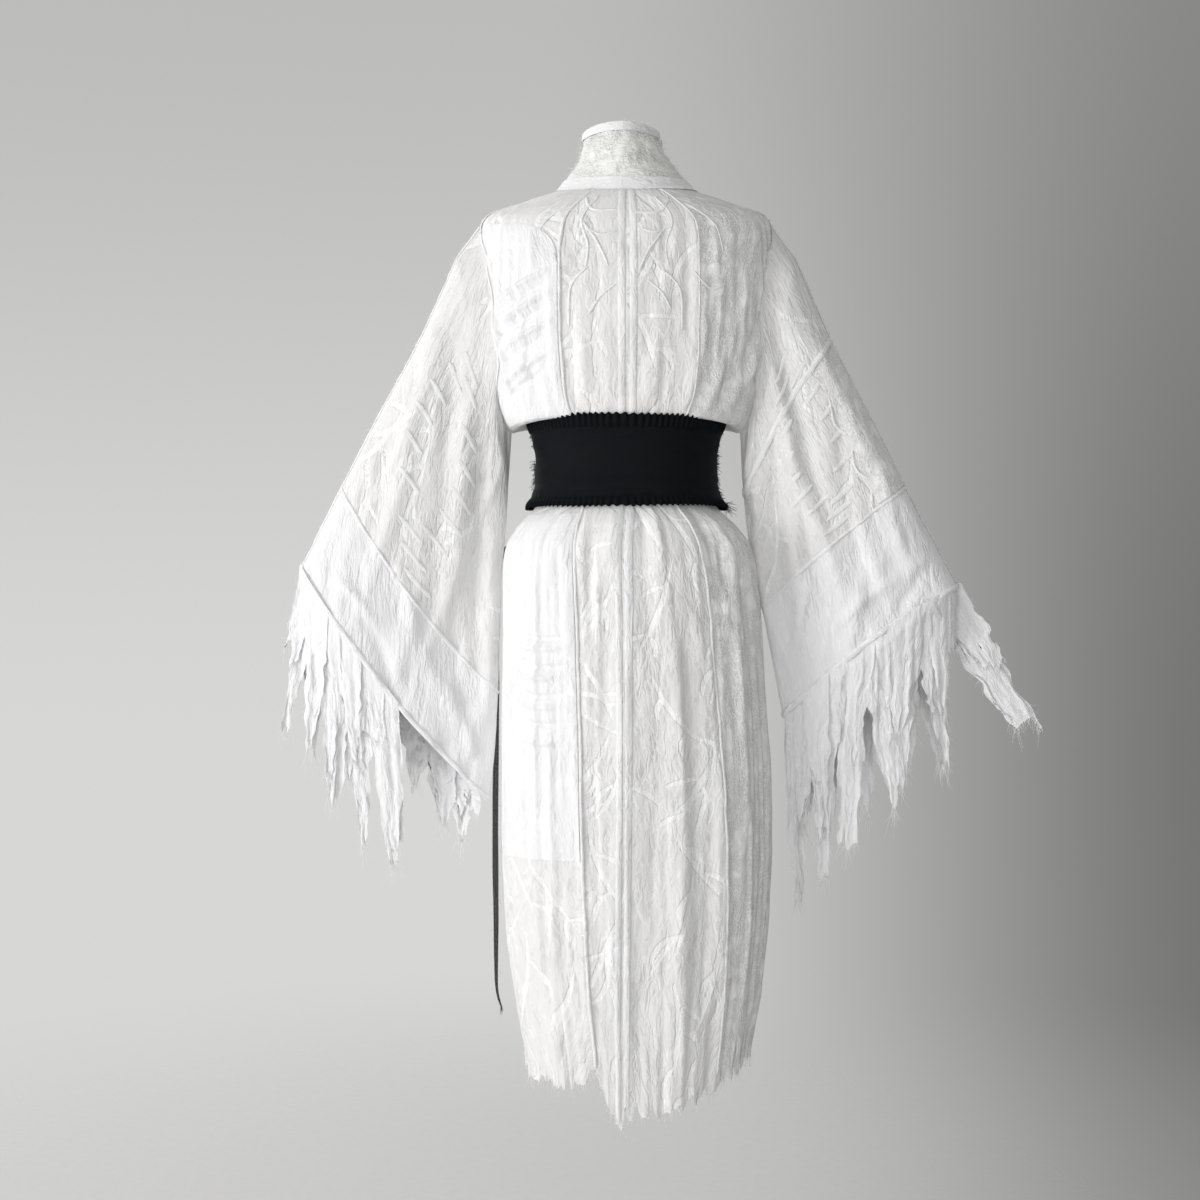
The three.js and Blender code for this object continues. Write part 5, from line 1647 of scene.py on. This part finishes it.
@dataclass
class StretchBelt:
    """The black stretch belt with its gathered edges, its side threads and the hanging tie."""

    wardrobe: Wardrobe
    side: float = 93.0

    # Tufts of loose threads at the side seams: side, middle ring, spread, count, longest in mm.
    TUFTS: ClassVar[tuple[tuple[int, float, float, int, float], ...]] = (
        (1, 2.0, 0.16, 46, 8), (1, 2.6, 0.12, 34, 9), (1, 0.7, 0.3, 16, 5), (1, 3.9, 0.3, 30, 8),
        (-1, 1.7, 0.2, 46, 8), (-1, 2.4, 0.2, 50, 8), (-1, 3.1, 0.25, 50, 9), (-1, 4.1, 0.12, 90, 22),
        (-1, 0.6, 0.3, 16, 5),
    )

    def panel(self, name: str, first: float, last: float,
              with_pieces: Sequence[bpy.types.Object] = ()) -> None:
        """One half of the belt."""
        at = np.linspace(0.25, 3.75, 34)[:, None]
        angle = np.linspace(first, last, 130)[None]
        plain = belt_point(angle, at)
        ripple = Ripple(91)
        across = np.radians(angle) * 0.13
        relief = 1.1 * ripple(across, at * 0.03, 0.10, 0.012) + 0.5 * ripple(across, at * 0.03, 0.03, 0.006)
        rims = 1 - smooth(0.2, 1.0, at) + smooth(3.0, 3.8, at)
        relief = relief + 1.2 * rims * ripple(across, at, 0.0055, 4)
        cloth = ClothMesh(name)
        cloth.add(belt_point(angle, at, relief * MM), flat_of(plain))
        piece = show(cloth.build(self.wardrobe.knit), [name])
        declare(plain, with_pieces)

    def frill(self, name: str, seam: float, edge: float, rise: float, seed: int) -> None:
        """One gathered edge of the belt."""
        over = np.linspace(0, 1, 11)[:, None]
        angle = np.linspace(0, 360, 1300)[None]
        at = mix(seam, edge, over)
        random = Ripple(seed)
        turn = angle / 360 * 104
        wave = np.sin(2 * math.pi * turn + 1.4 * random(turn % 104, 0, 3, 1))
        swell = 1.6 + over * 1.6 + (0.5 + 1.3 * over) * wave + 1.8 * np.sin(math.pi * over)
        ruched = belt_point(angle, at, swell * MM)
        ruched[..., 2] += MM * over * (rise + 1.3 * wave * np.sign(rise) + 1.5 * random(turn % 104, 9, 7, 1))
        cloth = ClothMesh(name)
        cloth.add(ruched)
        piece = show(cloth.build(self.wardrobe.knit), [name])

    def tie(self) -> None:
        """The hanging tie, a thin frayed ribbon."""
        at = np.linspace(0, len(TIE) - 1, 260)
        column = lambda name: through([getattr(p, name) for p in TIE], at) * MM
        centre = np.stack([column("x"), column("y"), column("z")], -1)
        hanging = smooth(1, 4, at)
        side = unit(np.stack([mix(0.25, 0.95, hanging), mix(0.1, 0.3, hanging), mix(0.96, 0, hanging)], -1))
        ripple = Ripple(95)
        share = np.linspace(-1, 1, 7)
        half = np.maximum(1 * MM, column("half"))
        grid = centre[:, None] + side[:, None] * (half[:, None] * share[None])[..., None]
        curl = np.cross(side, unit(np.gradient(centre, axis=0)))
        ridge = 1.6 * ripple(at[:, None], share[None] * 2, 0.7, 1) + 0.8 * (1 - share[None] ** 2)
        cloth = ClothMesh("belt_tie")
        cloth.add(grid + curl[:, None] * (ridge * MM)[..., None])
        threads = Threads("belt_tie_threads", 96)
        for column_at in (0, -1):
            threads.sprout(grid[20:, column_at][::2], np.array([0, 0, -1.0]), 0.45, 1 * MM, 9 * MM)
        threads.sprout(np.repeat(grid[-1], 4, axis=0), np.array([0, 0, -1.0]), 0.15, 4 * MM, 18 * MM)
        piece = show(cloth.build(self.wardrobe.tape), ["belt_tie"])
        fringe = show(threads.build(self.wardrobe.dark_thread, 0.3 * MM))
        declare(grid, [fringe])

    def build(self) -> None:
        """Builds the belt."""
        self.panel("belt_back", -self.side, self.side, [self.side_threads()])
        self.panel("belt_front", self.side, 360 - self.side)
        self.frill("belt_frill_top", 0.4, 0, 14, 97)
        self.frill("belt_frill_foot", 3.6, 4, -7, 98)
        self.tie()

    def side_threads(self) -> bpy.types.Object:
        """Loose black threads at the belt's side seams."""
        threads = Threads("belt_threads", 99)
        for sign, middle, spread, count, reach in self.TUFTS:
            at = np.clip(threads.random.normal(middle, spread, count), -0.2, 4.4)
            start = belt_point(sign * self.side + threads.random.uniform(-2.5, 2.5, count), at, 0.5 * MM)
            threads.sprout(start, np.array([sign * 1.0, 0.1, -0.4]), 0.55, 2 * MM, reach * MM)
        return show(threads.build(self.wardrobe.dark_thread, 1.1 * MM))


@dataclass
class Studio:
    """Camera, floor and soft lights."""

    camera_at: Triple = (0.038, 2.7, -0.596)
    lens: float = 55.5
    floor_z: float = -1.62

    def camera(self) -> None:
        """A level camera behind the robe."""
        data = bpy.data.cameras.new("camera")
        data.lens = self.lens
        made = placed("camera", data)
        made.location = self.camera_at
        made.rotation_euler = (math.pi / 2, 0, math.pi)
        bpy.context.scene.camera = made

    def lamp(self, name: str, at: Triple, size: float, power: float, colour: Triple) -> None:
        """A square lamp that faces the middle of the robe."""
        data = bpy.data.lights.new(name, "AREA")
        data.size = size
        data.energy = power
        data.color = colour
        made = placed(name, data)
        made.location = at
        aim = Vector((0, 0, -0.6)) - Vector(at)
        made.rotation_euler = aim.to_track_quat("-Z", "Y").to_euler()

    def world(self) -> None:
        """A pale grey surround, brighter on the wearer's left."""
        world = bpy.data.worlds.new("studio")
        bpy.context.scene.world = world
        world.use_nodes = True
        b = NodeBench(world.node_tree)
        way = b.add("ShaderNodeTexCoord").outputs["Generated"]
        parts = b.add("ShaderNodeSeparateXYZ")
        b.join(way, parts.inputs[0])
        side = b.steps(parts.outputs[0], -0.34, 0.05)
        up = b.steps(parts.outputs[2], -0.1, 0.34)
        left = b.blend(up, 0.68, 0.50)
        shade = b.blend(side, b.blend(up, 0.17, 0.24), left)
        back = world.node_tree.nodes["Background"]
        tone = b.add("ShaderNodeCombineColor")
        for i, gain in enumerate((1.0, 1.0, 0.985)):
            b.join(b.math("MULTIPLY", shade, gain), tone.inputs[i])
        b.join(tone.outputs[0], back.inputs["Color"])
        back.inputs["Strength"].default_value = 1.0

    def floor(self) -> None:
        """A plain pale floor disc whose edge fades away, and which is more see-through towards -X as painted
        shade on the side away from the key lamp.
        """
        place = (0, 0, self.floor_z)
        bpy.ops.mesh.primitive_circle_add(vertices=96, radius=3.2, fill_type="NGON", location=place)
        made = bpy.context.object
        made.name = "floor"
        material, b, shader = new_material("floor")
        shader.inputs["Roughness"].default_value = 0.9
        place = b.add("ShaderNodeTexCoord").outputs["Object"]
        away = b.add("ShaderNodeVectorMath", operation="LENGTH")
        b.join(place, away.inputs[0])
        parts = b.add("ShaderNodeSeparateXYZ")
        b.join(place, parts.inputs[0])
        # Painted shade: the floor is more see-through towards -X, the wearer's right, so the darker surround
        # shows through there.
        cover = b.blend(b.steps(parts.outputs[0], -1.1, 0.3), 0.35, 0.85)
        near = b.math("SUBTRACT", 1.0, b.steps(away.outputs["Value"], 0.5, 2.6))
        b.join(b.math("MULTIPLY", near, cover), shader.inputs["Alpha"])
        speck = b.noise(place, 60, 3.0)
        b.join(b.tint(speck, (0.56, 0.56, 0.56, 1), (0.61, 0.61, 0.61, 1)), shader.inputs["Base Color"])
        made.data.materials.append(material)

    def build(self) -> None:
        """Sets the studio up."""
        self.camera()
        self.world()
        self.floor()
        self.lamp("key", (2.7, 1.7, -0.4), 1.3, 54, (1.0, 0.99, 0.985))
        self.lamp("soft", (-0.1, 3.6, -0.3), 2.2, 35, (1.0, 0.995, 0.99))
        self.lamp("front_key", (2.0, -2.5, 1.4), 1.5, 62, (1.0, 0.99, 0.98))
        self.lamp("fill", (-2.2, -1.6, 0.4), 2.0, 12, (0.98, 0.99, 1.0))
        bpy.context.scene.view_settings.view_transform = "Standard"


def main() -> None:
    """Builds the robe and the studio in order."""
    logging.basicConfig(level=logging.INFO, format="%(message)s")
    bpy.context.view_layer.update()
    wardrobe = Wardrobe()
    RobeBody(wardrobe).build()
    Sleeves(wardrobe).build()
    StandCollar(wardrobe).build()
    StretchBelt(wardrobe).build()
    Studio().build()


if __name__ == "__main__":
    main()
